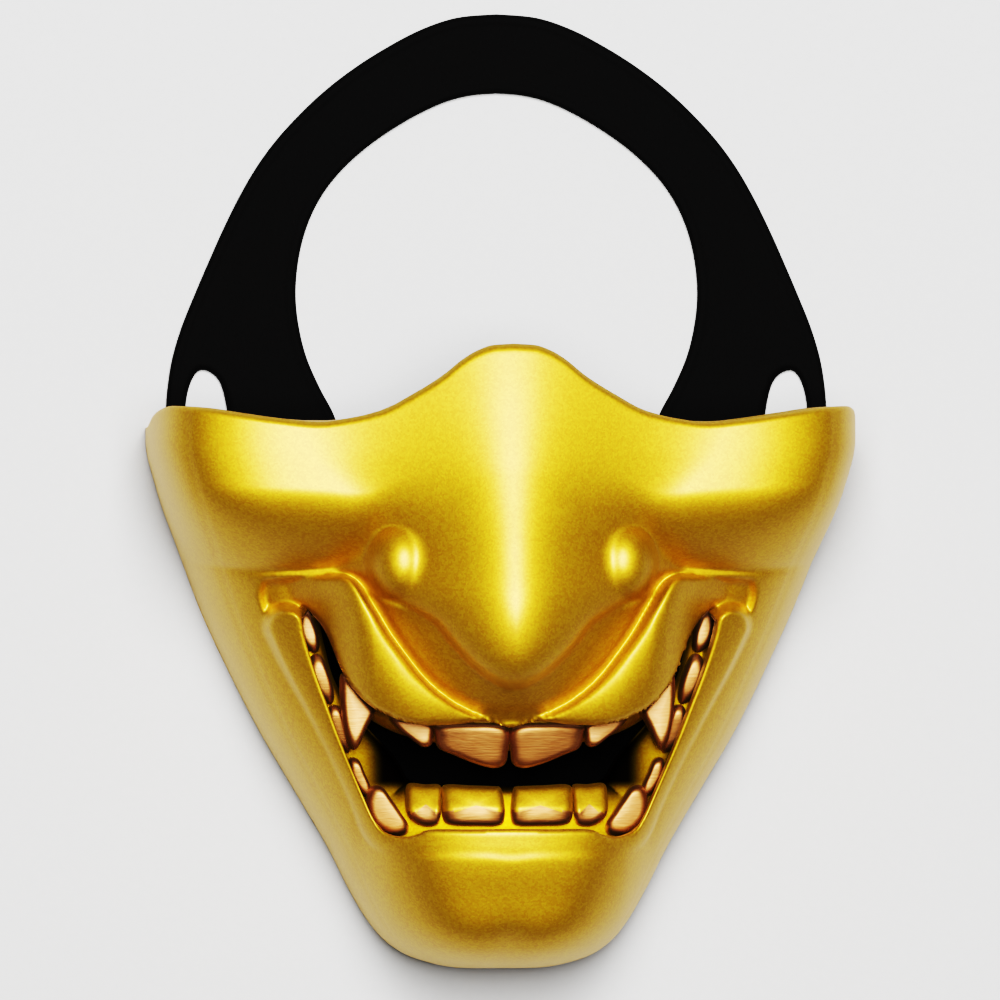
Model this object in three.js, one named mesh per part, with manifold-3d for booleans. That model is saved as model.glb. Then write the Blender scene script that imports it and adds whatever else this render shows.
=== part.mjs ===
// A demon-faced half mask: a gold shell from the nose bridge to the chin, copper teeth in an
// open snarl, and a black head strap that lies spread behind it.
//
// Frame: the mask lies on its rear rim. x runs across the face, y up it, z out of it.
// The origin is on the resting plane, in the middle of the mask and its strap.

import * as THREE from 'three';
import { mergeVertices } from 'three/addons/utils/BufferGeometryUtils.js';
import Module from 'manifold-3d';

const wasm = await Module();
wasm.setup();

// Driving dimensions in millimetres
const maskWidth = 176; // across the ear corners
const maskHeight = 155.5; // chin to the top of the nose bridge
const shellDepth = 78; // rear rim to the plain front of the shell
const wallThickness = 2.8;
const carvingRise = 10; // highest fold of the upper lip over the plain shell
const noseRise = 26; // tip of the nose over the plain shell
const wingRise = 14; // wings of the nose over the plain shell
const teethSetIn = 11.8; // front of the middle teeth behind the plain front of the shell
const jawSetback = 7; // how far the lower teeth stand behind the upper ones
const toothThickness = 5.2;
const gumThickness = 7;
const backingThickness = 1.6;
const strapRise = 99; // strap's highest point over the ear line
const strapThickness = 2.6;
const tabHeight = 24; // upright strap end glued to the side wall
const tabLength = 17;
const clearance = 0.3; // between pieces that touch

// Finishes
const goldPaint = { color: 0xd9ab12, roughness: 0.36, metalness: 0.85 };
const copperPaint = { color: 0xc98a4a, roughness: 0.42, metalness: 0.8 };
const blackFoam = { color: 0x060606, roughness: 0.95, metalness: 0 };
const blackNeoprene = { color: 0x0d0c0b, roughness: 0.82, metalness: 0 };

const halfWidth = maskWidth / 2;
const archDepth = shellDepth - teethSetIn;
const archSweep = (2 / 3) * shellDepth; // how far the row of teeth falls back over half the width
const earLine = 0.9 * maskHeight;
const chinY = -(earLine + strapRise) / 2;
const underside = 5; // how far the cutting solids reach below the resting plane

// Shell sections from the chin up. up: share of the mask's height. half: share of half the
// width. crest: share of the shell's depth. flare: share of the crest lost at the side.
// power: how late that loss sets in. corner: power of the turn from the front into the side wall.
const shellSections = [
  { up: 0, half: 0.114, crest: 0, flare: 0.2, power: 2, corner: 3 },
  { up: 0.008, half: 0.18, crest: 0.36, flare: 0.2, power: 2, corner: 3 },
  { up: 0.024, half: 0.266, crest: 0.58, flare: 0.21, power: 2, corner: 3.2 },
  { up: 0.048, half: 0.326, crest: 0.72, flare: 0.22, power: 2, corner: 3.4 },
  { up: 0.08, half: 0.372, crest: 0.795, flare: 0.25, power: 2, corner: 3.8 },
  { up: 0.129, half: 0.423, crest: 0.84, flare: 0.22, power: 2, corner: 4.4 },
  { up: 0.193, half: 0.48, crest: 0.859, flare: 0.24, power: 2, corner: 5 },
  { up: 0.289, half: 0.58, crest: 0.885, flare: 0.27, power: 2.2, corner: 6 },
  { up: 0.386, half: 0.679, crest: 0.91, flare: 0.31, power: 2.4, corner: 7 },
  { up: 0.482, half: 0.767, crest: 0.928, flare: 0.34, power: 2.6, corner: 8 },
  { up: 0.579, half: 0.845, crest: 0.933, flare: 0.34, power: 3.2, corner: 9.6 },
  { up: 0.675, half: 0.909, crest: 0.923, flare: 0.32, power: 5, corner: 12 },
  { up: 0.772, half: 0.969, crest: 0.91, flare: 0.3, power: 8, corner: 14 },
  { up: 0.852, half: 1, crest: 0.9, flare: 0.3, power: 8, corner: 15 },
  { up: 0.916, half: 1, crest: 0.89, flare: 0.3, power: 8, corner: 15 },
  { up: 1, half: 1, crest: 0.872, flare: 0.3, power: 8, corner: 15 },
];

// Top edge from the nose bridge to the ear corner, as shares of half the width and the height
const topEdge = [
  { across: 0, up: 1 },
  { across: 0.057, up: 0.998 },
  { across: 0.1, up: 0.99 },
  { across: 0.142, up: 0.976 },
  { across: 0.199, up: 0.95 },
  { across: 0.284, up: 0.92 },
  { across: 0.369, up: 0.895 },
  { across: 0.455, up: 0.883 },
  { across: 0.54, up: 0.877 },
  { across: 0.653, up: 0.883 },
  { across: 0.767, up: 0.892 },
  { across: 0.881, up: 0.901 },
  { across: 0.952, up: 0.904 },
  { across: 0.983, up: 0.899 },
  { across: 1, up: 0.878 },
];

// Foot of the cheek's bulge from the ear to the side of the nose, closed above the top edge
const cheekFoot = [
  { across: 1.136, up: 0.682 },
  { across: 1, up: 0.666 },
  { across: 0.864, up: 0.652 },
  { across: 0.773, up: 0.647 },
  { across: 0.682, up: 0.644 },
  { across: 0.591, up: 0.647 },
  { across: 0.5, up: 0.652 },
  { across: 0.45, up: 0.66 },
  { across: 0.416, up: 0.704 },
  { across: 0.377, up: 0.727 },
  { across: 0.325, up: 0.737 },
  { across: 0.227, up: 0.724 },
  { across: 0.136, up: 0.714 },
  { across: -0.114, up: 0.714 },
  { across: -0.114, up: 1.125 },
  { across: 1.136, up: 1.125 },
];

// That bulge from the middle of the face out. rise: share of the carving. reach: width of its
// rounded foot as a share of half the width.
const cheekBulge = [
  { across: 0, rise: 0.6, reach: 0.1 },
  { across: 0.227, rise: 0.6, reach: 0.1 },
  { across: 0.341, rise: 0.66, reach: 0.125 },
  { across: 0.432, rise: 0.8, reach: 0.17 },
  { across: 0.523, rise: 0.94, reach: 0.216 },
  { across: 0.636, rise: 1, reach: 0.239 },
  { across: 0.773, rise: 0.98, reach: 0.25 },
  { across: 1, rise: 0.9, reach: 0.25 },
];

// Sunk field round the mouth, right half with its overlap of the middle
const mouthField = [
  { across: 0.682, up: 0.632 },
  { across: 0.582, up: 0.634 },
  { across: 0.489, up: 0.637 },
  { across: 0.426, up: 0.601 },
  { across: 0.369, up: 0.514 },
  { across: 0.256, up: 0.434 },
  { across: 0.114, up: 0.389 },
  { across: -0.1, up: 0.378 },
  { across: -0.1, up: 0.189 },
  { across: 0.17, up: 0.191 },
  { across: 0.284, up: 0.188 },
  { across: 0.341, up: 0.195 },
  { across: 0.381, up: 0.219 },
  { across: 0.438, up: 0.281 },
  { across: 0.494, up: 0.354 },
  { across: 0.551, up: 0.41 },
  { across: 0.608, up: 0.461 },
  { across: 0.651, up: 0.511 },
  { across: 0.688, up: 0.559 },
  { across: 0.707, up: 0.598 },
  { across: 0.702, up: 0.622 },
];

// Depth of that field as a share of the carving, from the chin up
const fieldDepth = [
  { up: 0.18, depth: 0.05 },
  { up: 0.4, depth: 0.08 },
  { up: 0.5, depth: 0.16 },
  { up: 0.59, depth: 0.3 },
  { up: 0.66, depth: 0.34 },
];

// Lower lip and the strip beside the mouth, from the middle to the mouth's corner.
// half: share of half the width. rise: share of the carving.
const lowerLip = [
  { across: -0.114, up: 0.21, half: 0.04, rise: 0.38 },
  { across: 0, up: 0.21, half: 0.04, rise: 0.38 },
  { across: 0.114, up: 0.21, half: 0.04, rise: 0.38 },
  { across: 0.241, up: 0.206, half: 0.037, rise: 0.36 },
  { across: 0.318, up: 0.206, half: 0.034, rise: 0.34 },
  { across: 0.372, up: 0.228, half: 0.034, rise: 0.32 },
  { across: 0.415, up: 0.277, half: 0.031, rise: 0.3 },
  { across: 0.463, up: 0.334, half: 0.031, rise: 0.28 },
  { across: 0.509, up: 0.389, half: 0.031, rise: 0.26 },
  { across: 0.557, up: 0.442, half: 0.037, rise: 0.24 },
  { across: 0.599, up: 0.498, half: 0.045, rise: 0.22 },
  { across: 0.628, up: 0.555, half: 0.051, rise: 0.18 },
  { across: 0.648, up: 0.592, half: 0.045, rise: 0.1 },
];

// Heavy fold of the upper lip, from the middle up to the corner of the snarl
const upperLip = [
  { across: -0.057, up: 0.4, half: 0.017, rise: 0.16 },
  { across: 0, up: 0.397, half: 0.017, rise: 0.14 },
  { across: 0.057, up: 0.4, half: 0.017, rise: 0.16 },
  { across: 0.148, up: 0.407, half: 0.03, rise: 0.35 },
  { across: 0.23, up: 0.421, half: 0.054, rise: 0.65 },
  { across: 0.3125, up: 0.447, half: 0.074, rise: 0.84 },
  { across: 0.372, up: 0.481, half: 0.08, rise: 0.92 },
  { across: 0.415, up: 0.514, half: 0.08, rise: 0.94 },
  { across: 0.446, up: 0.551, half: 0.077, rise: 0.9 },
  { across: 0.474, up: 0.588, half: 0.077, rise: 0.78 },
  { across: 0.537, up: 0.611, half: 0.054, rise: 0.46 },
  { across: 0.608, up: 0.617, half: 0.031, rise: 0.16 },
  { across: 0.69, up: 0.614, half: 0.023, rise: 0.05 },
];

// Nose from its bridge to below the tip. rise: share of the nose's rise. round: radius of the
// ridge as a share of half the width. slope: fall of its sides in mm per mm.
// blend: width of its blend into the cheeks as a share of the nose's rise.
const noseSections = [
  { up: 0.434, rise: 0.962, round: 0.227, slope: 0.98, blend: 0.024 },
  { up: 0.482, rise: 0.985, round: 0.216, slope: 1, blend: 0.027 },
  { up: 0.531, rise: 0.969, round: 0.205, slope: 1.02, blend: 0.035 },
  { up: 0.595, rise: 0.946, round: 0.193, slope: 0.98, blend: 0.06 },
  { up: 0.675, rise: 0.885, round: 0.193, slope: 0.96, blend: 0.15 },
  { up: 0.756, rise: 0.788, round: 0.205, slope: 0.78, blend: 0.33 },
  { up: 0.836, rise: 0.712, round: 0.227, slope: 0.62, blend: 0.4 },
  { up: 0.916, rise: 0.646, round: 0.25, slope: 0.54, blend: 0.44 },
  { up: 1, rise: 0.577, round: 0.273, slope: 0.5, blend: 0.44 },
];

// Underside of the nose from the tip out to the wing, closed above
const noseEdge = [
  { across: -0.156, up: 0.497 },
  { across: -0.08, up: 0.47 },
  { across: 0, up: 0.46 },
  { across: 0.08, up: 0.47 },
  { across: 0.156, up: 0.497 },
  { across: 0.227, up: 0.529 },
  { across: 0.298, up: 0.559 },
  { across: 0.364, up: 0.585 },
  { across: 0.398, up: 0.611 },
  { across: 0.483, up: 0.659 },
  { across: 0.653, up: 0.756 },
  { across: 0.653, up: 1.08 },
  { across: -0.3, up: 1.08 },
  { across: -0.3, up: 0.595 },
];

const wing = { across: 0.307, up: 0.653, half: 0.085, tall: 0.066, turn: -0.22, start: 0.12 };

// Outline of the mouth: the lip's edge from the middle out, then back under the side teeth
const mouthEdge = [
  { across: 0, up: 0.395 },
  { across: 0.06, up: 0.4 },
  { across: 0.105, up: 0.402 },
  { across: 0.17, up: 0.397 },
  { across: 0.25, up: 0.399 },
  { across: 0.321, up: 0.407 },
  { across: 0.375, up: 0.42 },
  { across: 0.44, up: 0.457 },
  { across: 0.469, up: 0.474 },
  { across: 0.506, up: 0.531 },
  { across: 0.534, up: 0.561 },
  { across: 0.582, up: 0.588 },
  { across: 0.631, up: 0.604 },
  { across: 0.676, up: 0.602 },
  { across: 0.6, up: 0.585 },
  { across: 0.58, up: 0.558 },
  { across: 0.565, up: 0.524 },
  { across: 0.545, up: 0.477 },
  { across: 0.517, up: 0.434 },
  { across: 0.482, up: 0.378 },
  { across: 0.449, up: 0.336 },
  { across: 0.415, up: 0.295 },
  { across: 0.386, up: 0.254 },
  { across: 0.349, up: 0.229 },
  { across: 0.3, up: 0.22 },
  { across: 0.24, up: 0.232 },
  { across: 0.12, up: 0.233 },
  { across: 0, up: 0.233 },
];

// Gums from the middle out. over and under: the gum's reach to each side of its line, as
// shares of half the width. drop: how far its free edge lies behind its seat for the teeth.
const upperGumLine = [
  { across: 0, up: 0.41, over: 0.06, under: 0.095, drop: 0.3 },
  { across: 0.09, up: 0.411, over: 0.06, under: 0.09, drop: 0.3 },
  { across: 0.18, up: 0.412, over: 0.06, under: 0.08, drop: 0.3 },
  { across: 0.28, up: 0.42, over: 0.06, under: 0.07, drop: 0.3 },
  { across: 0.36, up: 0.438, over: 0.06, under: 0.06, drop: 0.3 },
  { across: 0.415, up: 0.463, over: 0.055, under: 0.05, drop: 0.3 },
];
const lowerGumLine = [
  { across: 0, up: 0.225, over: 0.13, under: 0.04, drop: 0.2 },
  { across: 0.1, up: 0.225, over: 0.13, under: 0.04, drop: 0.2 },
  { across: 0.2, up: 0.227, over: 0.13, under: 0.04, drop: 0.3 },
  { across: 0.3, up: 0.231, over: 0.14, under: 0.04, drop: 0.6 },
  { across: 0.378, up: 0.256, over: 0.14, under: 0.045, drop: 0.9 },
  { across: 0.424, up: 0.31, over: 0.13, under: 0.045, drop: 0.9 },
  { across: 0.468, up: 0.362, over: 0.1, under: 0.045, drop: 0.9 },
  { across: 0.505, up: 0.412, over: 0.07, under: 0.045, drop: 0.8 },
  { across: 0.535, up: 0.462, over: 0.055, under: 0.045, drop: 0.7 },
  { across: 0.557, up: 0.515, over: 0.05, under: 0.04, drop: 0.7 },
  { across: 0.572, up: 0.568, over: 0.045, under: 0.035, drop: 0.7 },
];

// Teeth of the right side. root and tip: shares of the height. across and lean: where the root
// lies and how far the tip is from it. half: half the tooth's width. thick: share of the teeth's
// thickness.
const teeth = [
  {
    name: 'upper_incisor', row: 'upper', form: 'blade',
    across: 0.103, lean: -0.004, root: 0.414, tip: 0.338, half: 0.095, thick: 1,
  },
  {
    name: 'upper_lateral', row: 'upper', form: 'blade',
    across: 0.258, lean: -0.012, root: 0.424, tip: 0.364, half: 0.05, thick: 0.9,
  },
  {
    name: 'upper_fang', row: 'upper', form: 'fang',
    across: 0.412, lean: 0.018, root: 0.482, tip: 0.36, half: 0.043, thick: 1.5,
  },
  {
    name: 'lower_incisor', row: 'lower', form: 'blade',
    across: 0.095, lean: 0, root: 0.232, tip: 0.298, half: 0.085, thick: 1,
  },
  {
    name: 'lower_lateral', row: 'lower', form: 'blade',
    across: 0.229, lean: 0, root: 0.234, tip: 0.298, half: 0.043, thick: 0.95,
  },
  {
    name: 'lower_canine', row: 'lower', form: 'grinder',
    across: 0.324, lean: 0.045, root: 0.225, tip: 0.292, half: 0.045, thick: 1.15,
  },
  {
    name: 'side_tooth_1', row: 'lower', form: 'grinder',
    across: 0.424, lean: 0.036, root: 0.288, tip: 0.35, half: 0.04, thick: 1,
  },
  {
    name: 'side_tooth_2', row: 'lower', form: 'grinder',
    across: 0.477, lean: 0.037, root: 0.356, tip: 0.426, half: 0.036, thick: 0.95,
  },
  {
    name: 'side_tooth_3', row: 'lower', form: 'grinder',
    across: 0.526, lean: 0.025, root: 0.433, tip: 0.505, half: 0.036, thick: 0.9,
  },
  {
    name: 'side_tooth_4', row: 'lower', form: 'grinder',
    across: 0.556, lean: 0.012, root: 0.513, tip: 0.575, half: 0.034, thick: 0.8,
  },
];

// Forms of a tooth from root to tip, as shares of its own half width and thickness
const toothForms = {
  blade: [
    { along: 0, half: 0.8, thick: 0.55 },
    { along: 0.14, half: 0.94, thick: 0.88 },
    { along: 0.5, half: 1, thick: 1 },
    { along: 0.84, half: 1, thick: 0.9 },
    { along: 0.96, half: 0.94, thick: 0.6 },
    { along: 1, half: 0.84, thick: 0.3 },
  ],
  fang: [
    { along: 0, half: 0.8, thick: 0.6 },
    { along: 0.16, half: 1, thick: 0.92 },
    { along: 0.42, half: 0.92, thick: 1 },
    { along: 0.7, half: 0.64, thick: 0.86 },
    { along: 0.92, half: 0.3, thick: 0.5 },
    { along: 1, half: 0.1, thick: 0.2 },
  ],
  grinder: [
    { along: 0, half: 0.55, thick: 0.4 },
    { along: 0.13, half: 0.86, thick: 0.8 },
    { along: 0.36, half: 1, thick: 1 },
    { along: 0.66, half: 1, thick: 1 },
    { along: 0.88, half: 0.86, thick: 0.8 },
    { along: 1, half: 0.55, thick: 0.4 },
  ],
};

// Strap from the middle of its top to its end under the mask. The outer and the inner edge are
// shares of half the width and of the strap's rise over the ear line.
const strapStations = [
  { outer: 0, outerUp: 1, inner: 0, innerUp: 0.8 },
  { outer: 0.11, outerUp: 0.99, inner: 0.05, innerUp: 0.797 },
  { outer: 0.216, outerUp: 0.96, inner: 0.11, innerUp: 0.786 },
  { outer: 0.325, outerUp: 0.909, inner: 0.202, innerUp: 0.758 },
  { outer: 0.486, outerUp: 0.808, inner: 0.3, innerUp: 0.707 },
  { outer: 0.607, outerUp: 0.707, inner: 0.382, innerUp: 0.645 },
  { outer: 0.689, outerUp: 0.606, inner: 0.472, innerUp: 0.573 },
  { outer: 0.751, outerUp: 0.505, inner: 0.53, innerUp: 0.482 },
  { outer: 0.804, outerUp: 0.404, inner: 0.561, innerUp: 0.393 },
  { outer: 0.855, outerUp: 0.303, inner: 0.572, innerUp: 0.303 },
  { outer: 0.902, outerUp: 0.202, inner: 0.561, innerUp: 0.202 },
  { outer: 0.93, outerUp: 0.101, inner: 0.523, innerUp: 0.101 },
  { outer: 0.94, outerUp: 0, inner: 0.473, innerUp: 0 },
  { outer: 0.95, outerUp: -0.1, inner: 0.44, innerUp: -0.1 },
  { outer: 0.95, outerUp: -0.19, inner: 0.5, innerUp: -0.19 },
  { outer: 0.92, outerUp: -0.24, inner: 0.6, innerUp: -0.24 },
];

// Ear slot through the strap
const earSlot = [
  { across: 0.845, up: 0.1 },
  { across: 0.79, up: 0.075 },
  { across: 0.768, up: 0 },
  { across: 0.765, up: -0.09 },
  { across: 0.8, up: -0.135 },
  { across: 0.865, up: -0.12 },
  { across: 0.888, up: -0.04 },
  { across: 0.878, up: 0.05 },
];

// Number of facets
const shellColumns = 24; // from the middle of the face to one side
const wallColumns = 5; // of those, round the turn into the side wall
const shellRows = 39;
const hollowColumns = 14;
const hollowRows = 18;

const { clamp, lerp, smoothstep } = THREE.MathUtils;

// Smooth curve through a table's column that never overshoots its values
function tableCurve(rows, key, column) {
  const at = rows.map((row) => row[key]);
  const value = rows.map((row) => row[column]);
  const slopes = at.slice(1).map((next, i) => (value[i + 1] - value[i]) / (next - at[i]));
  const tangents = at.map((_, i) => {
    if (i === 0) return slopes[0];
    if (i === at.length - 1) return slopes[i - 1];
    const before = slopes[i - 1];
    const after = slopes[i];
    return before * after <= 0 ? 0 : (2 * before * after) / (before + after);
  });
  return (place) => {
    const clamped = clamp(place, at[0], at[at.length - 1]);
    let i = 0;
    while (i < at.length - 2 && clamped > at[i + 1]) i += 1;
    const span = at[i + 1] - at[i];
    const t = (clamped - at[i]) / span;
    const startPart = (1 + 2 * t) * (1 - t) ** 2 * value[i] + t * (1 - t) ** 2 * span * tangents[i];
    const endPart = t * t * (3 - 2 * t) * value[i + 1] + t * t * (t - 1) * span * tangents[i + 1];
    return startPart + endPart;
  };
}

// Rows of a table taken along a smooth line through them, each column alike
function smoothRows(rows, perSpan, closed = false) {
  const count = rows.length;
  const pick = (i) => (closed ? rows[(i + count) % count] : rows[clamp(i, 0, count - 1)]);
  const result = [];
  for (let i = 0; i < (closed ? count : count - 1); i += 1) {
    for (let step = 0; step < perSpan; step += 1) {
      const t = step / perSpan;
      const row = {};
      for (const column of Object.keys(rows[0])) {
        const [a, b, c, d] = [-1, 0, 1, 2].map((offset) => pick(i + offset)[column]);
        const bend = (2 * a - 5 * b + 4 * c - d) * t * t + (3 * b - a - 3 * c + d) * t ** 3;
        row[column] = 0.5 * (2 * b + (c - a) * t + bend);
      }
      result.push(row);
    }
  }
  return closed ? result : [...result, rows[count - 1]];
}

// A table's line in millimetres: x from the middle of the face, y from the chin
function facePath(rows, perSpan, closed = false) {
  return smoothRows(rows, perSpan, closed).map((row) => ({
    x: row.across * halfWidth,
    y: row.up * maskHeight,
    half: row.half * halfWidth,
    rise: row.rise * carvingRise,
  }));
}

// Nearest place on a line: its distance, its side and the line's own half width and rise there
function nearestOn(path, x, y, closed = false) {
  let best = { distance: Infinity };
  for (let i = 0; i < path.length - (closed ? 0 : 1); i += 1) {
    const start = path[i];
    const end = path[(i + 1) % path.length];
    const dx = end.x - start.x;
    const dy = end.y - start.y;
    const along = clamp(((x - start.x) * dx + (y - start.y) * dy) / (dx * dx + dy * dy), 0, 1);
    const distance = Math.hypot(x - start.x - along * dx, y - start.y - along * dy);
    if (distance < best.distance) {
      const side = Math.sign(dx * (y - start.y) - dy * (x - start.x));
      const half = lerp(start.half, end.half, along);
      best = { distance, side, half, rise: lerp(start.rise, end.rise, along) };
    }
  }
  return best;
}

// Distance to a closed line, positive inside it
function depthInside(loop, x, y) {
  let inside = false;
  loop.forEach((point, i) => {
    const next = loop[(i + 1) % loop.length];
    const crosses = point.y > y !== next.y > y;
    if (crosses && x < point.x + ((y - point.y) * (next.x - point.x)) / (next.y - point.y)) inside = !inside;
  });
  const { distance } = nearestOn(loop, x, y, true);
  return inside ? distance : -distance;
}

const quarterRound = (t) => Math.sqrt(1 - (1 - clamp(t, 0, 1)) ** 2);
const bell = (distance, width) => Math.exp(-((distance / width) ** 2));

// Larger of two heights, rounded where they meet
function blendMax(a, b, width) {
  const overlap = Math.max(width - Math.abs(a - b), 0) / width;
  return Math.max(a, b) + (overlap * overlap * width) / 4;
}

const sectionHalf = tableCurve(shellSections, 'up', 'half');
const sectionCrest = tableCurve(shellSections, 'up', 'crest');
const sectionFlare = tableCurve(shellSections, 'up', 'flare');
const sectionPower = tableCurve(shellSections, 'up', 'power');
const sectionCorner = tableCurve(shellSections, 'up', 'corner');
const edgeUp = tableCurve(topEdge, 'across', 'up');
const cheekRise = tableCurve(cheekBulge, 'across', 'rise');
const cheekReach = tableCurve(cheekBulge, 'across', 'reach');
const fieldSink = tableCurve(fieldDepth, 'up', 'depth');
const noseColumns = ['rise', 'round', 'slope', 'blend'];
const noseCurves = noseColumns.map((column) => tableCurve(noseSections, 'up', column));

const cheekLoop = facePath(cheekFoot, 4, true);
const fieldLoop = facePath(mouthField, 4, true);
const noseLoop = facePath(noseEdge, 4, true);
const lowerLipPath = facePath(lowerLip, 4);
const upperLipPath = facePath(upperLip, 4);

const grooveWidth = 0.03 * halfWidth;
const foldCreaseShare = 0.5; // where the fold's crest lies between its line and its sharp edge

// Height of the cheek's bulge
function cheekHeight(x, y) {
  const inside = depthInside(cheekLoop, x, y);
  const reach = cheekReach(x / halfWidth) * halfWidth;
  return cheekRise(x / halfWidth) * carvingRise * smoothstep(inside, 0.14 * reach, reach);
}

// Height of the nose: a rounded wedge that drops off at its underside
function noseHeight(x, y) {
  const [rise, round, slope] = noseCurves.map((curve) => curve(y / maskHeight));
  const radius = round * halfWidth;
  const wedge = rise * noseRise - slope * (Math.hypot(x, radius) - radius);
  const inside = depthInside(noseLoop, x, y);
  const spread = clamp(x / (0.37 * halfWidth), 0, 1);
  const turn = lerp(0.148, 0.051, spread) * halfWidth;
  const drop = lerp(0.54, 0.2, spread) * noseRise * (1 - quarterRound(inside / turn));
  return inside > 0 ? wedge - drop : wedge - drop + 6.4 * inside;
}

// Height of the wing of the nose, or nothing away from it
function wingHeight(x, y) {
  const dx = x - wing.across * halfWidth;
  const dy = y - wing.up * maskHeight;
  const major = (dx * Math.cos(wing.turn) - dy * Math.sin(wing.turn)) / (wing.half * halfWidth);
  const minor = (dx * Math.sin(wing.turn) + dy * Math.cos(wing.turn)) / (wing.tall * maskHeight);
  const left = 1 - major * major - minor * minor;
  return left > 0 ? wingRise * (wing.start + (1 - wing.start) * Math.sqrt(left)) : -carvingRise;
}

// Height of a rounded strip along a line
function stripHeight(path, x, y) {
  const { distance, half, rise } = nearestOn(path, x, y);
  const t = distance / half;
  return t < 1 ? rise * Math.sqrt(1 - t ** 2.5) : -carvingRise;
}

// Height of the upper lip's fold: steep on the side of the nose, long towards the mouth
function foldHeight(x, y) {
  const { distance, side, half, rise } = nearestOn(upperLipPath, x, y);
  const place = (distance * side) / half;
  if (Math.abs(place) >= 1) return -carvingRise;
  const pastCrest = clamp((place - foldCreaseShare) / (1 - foldCreaseShare), 0, 1);
  const steep = Math.sqrt(1 - pastCrest ** 2);
  const long = 1 - 0.62 * (clamp(foldCreaseShare - place, 0, 2) / (1 + foldCreaseShare)) ** 2;
  return rise * (place > foldCreaseShare ? steep : long);
}

// How far the mouth's sunk field lies below the plain shell
function fieldSunk(x, y, spread = 0) {
  const inside = depthInside(fieldLoop, x, y) + spread;
  return fieldSink(y / maskHeight) * carvingRise * smoothstep(inside, -0.006 * halfWidth, 0.015 * halfWidth);
}

// All carving over the plain shell at a place on one half of the face
function carving(x, y) {
  const noseBlend = noseCurves[3](y / maskHeight) * noseRise;
  let height = blendMax(cheekHeight(x, y), noseHeight(x, y), noseBlend);
  height = blendMax(height, wingHeight(x, y), 0.09 * carvingRise);
  height -= fieldSunk(x, y);
  height = blendMax(height, stripHeight(lowerLipPath, x, y), 0.08 * carvingRise);
  height = blendMax(height, foldHeight(x, y), 0.07 * carvingRise);
  const boneAcross = bell(x - 0.125 * halfWidth, 0.125 * halfWidth);
  const chin = boneAcross * bell(y - 0.045 * maskHeight, 0.045 * maskHeight);
  const cleft = bell(x, 0.045 * halfWidth) * smoothstep(-y, -0.088 * maskHeight, -0.024 * maskHeight);
  return height + (0.1 * chin - 0.16 * cleft) * carvingRise;
}

// Carving averaged over a small disc, for the wide facets of the shell
function softCarving(x, y) {
  const reach = 0.026 * halfWidth;
  let sum = 2 * carving(x, y);
  for (let i = 0; i < 6; i += 1) {
    const angle = (i * Math.PI) / 3;
    sum += carving(Math.abs(x + reach * Math.cos(angle)), y + reach * Math.sin(angle));
  }
  return sum / 8;
}

// Plain shell, drawn in by an inset: half its width, and its height at a share of that half
function shellHalf(y, inset) {
  return sectionHalf(y / maskHeight) * halfWidth - inset;
}
function plainHeight(share, y, inset) {
  const up = (y - inset) / (maskHeight - inset);
  const crest = sectionCrest(up) * shellDepth * (1 - sectionFlare(up) * share ** sectionPower(up));
  return crest * Math.sqrt(Math.max(1 - share ** sectionCorner(up), 0)) - inset;
}

// Shares of the half width for the grid's columns, closer together round the side wall
function columnShares(count, wallCount, corner) {
  const plain = count - wallCount;
  const turn = 0.9;
  const shares = [];
  for (let i = 0; i <= plain; i += 1) shares.push((turn * i) / plain);
  const turnHeight = Math.sqrt(1 - turn ** corner);
  for (let i = 1; i <= wallCount; i += 1) {
    const left = turnHeight * (1 - i / wallCount);
    shares.push((1 - left * left) ** (1 / corner));
  }
  return shares;
}

// Turns a half row of points into a whole one
function mirrored(halfRow) {
  const left = halfRow.slice(1).reverse().map(([x, y, z]) => [-x, y, z]);
  return [...left, ...halfRow];
}

// A closed body between two sheets of points with equal rows and columns. The front sheet's
// rows run down the face and its columns to the right.
function bodyBetween(front, back) {
  const rows = front.length;
  const columns = front[0].length;
  const positions = [...front.flat(2), ...back.flat(2)];
  const frontAt = (r, c) => r * columns + c;
  const backAt = (r, c) => rows * columns + frontAt(r, c);
  const index = [];
  const quad = (a, b, c, d) => index.push(a, b, c, a, c, d);
  for (let r = 0; r < rows - 1; r += 1) {
    for (let c = 0; c < columns - 1; c += 1) {
      // Both halves of a face are split alike, so that they mirror each other
      if (c < (columns - 1) / 2) {
        quad(frontAt(r, c), frontAt(r + 1, c), frontAt(r + 1, c + 1), frontAt(r, c + 1));
        quad(backAt(r, c), backAt(r, c + 1), backAt(r + 1, c + 1), backAt(r + 1, c));
      } else {
        quad(frontAt(r + 1, c), frontAt(r + 1, c + 1), frontAt(r, c + 1), frontAt(r, c));
        quad(backAt(r, c + 1), backAt(r + 1, c + 1), backAt(r + 1, c), backAt(r, c));
      }
    }
    quad(frontAt(r, 0), backAt(r, 0), backAt(r + 1, 0), frontAt(r + 1, 0));
    const last = columns - 1;
    quad(frontAt(r, last), frontAt(r + 1, last), backAt(r + 1, last), backAt(r, last));
  }
  for (let c = 0; c < columns - 1; c += 1) {
    quad(frontAt(0, c), frontAt(0, c + 1), backAt(0, c + 1), backAt(0, c));
    quad(frontAt(rows - 1, c), backAt(rows - 1, c), backAt(rows - 1, c + 1), frontAt(rows - 1, c + 1));
  }
  const geometry = new THREE.BufferGeometry();
  geometry.setAttribute('position', new THREE.Float32BufferAttribute(positions, 3));
  geometry.setIndex(index);
  return solidFrom(geometry);
}

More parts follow.
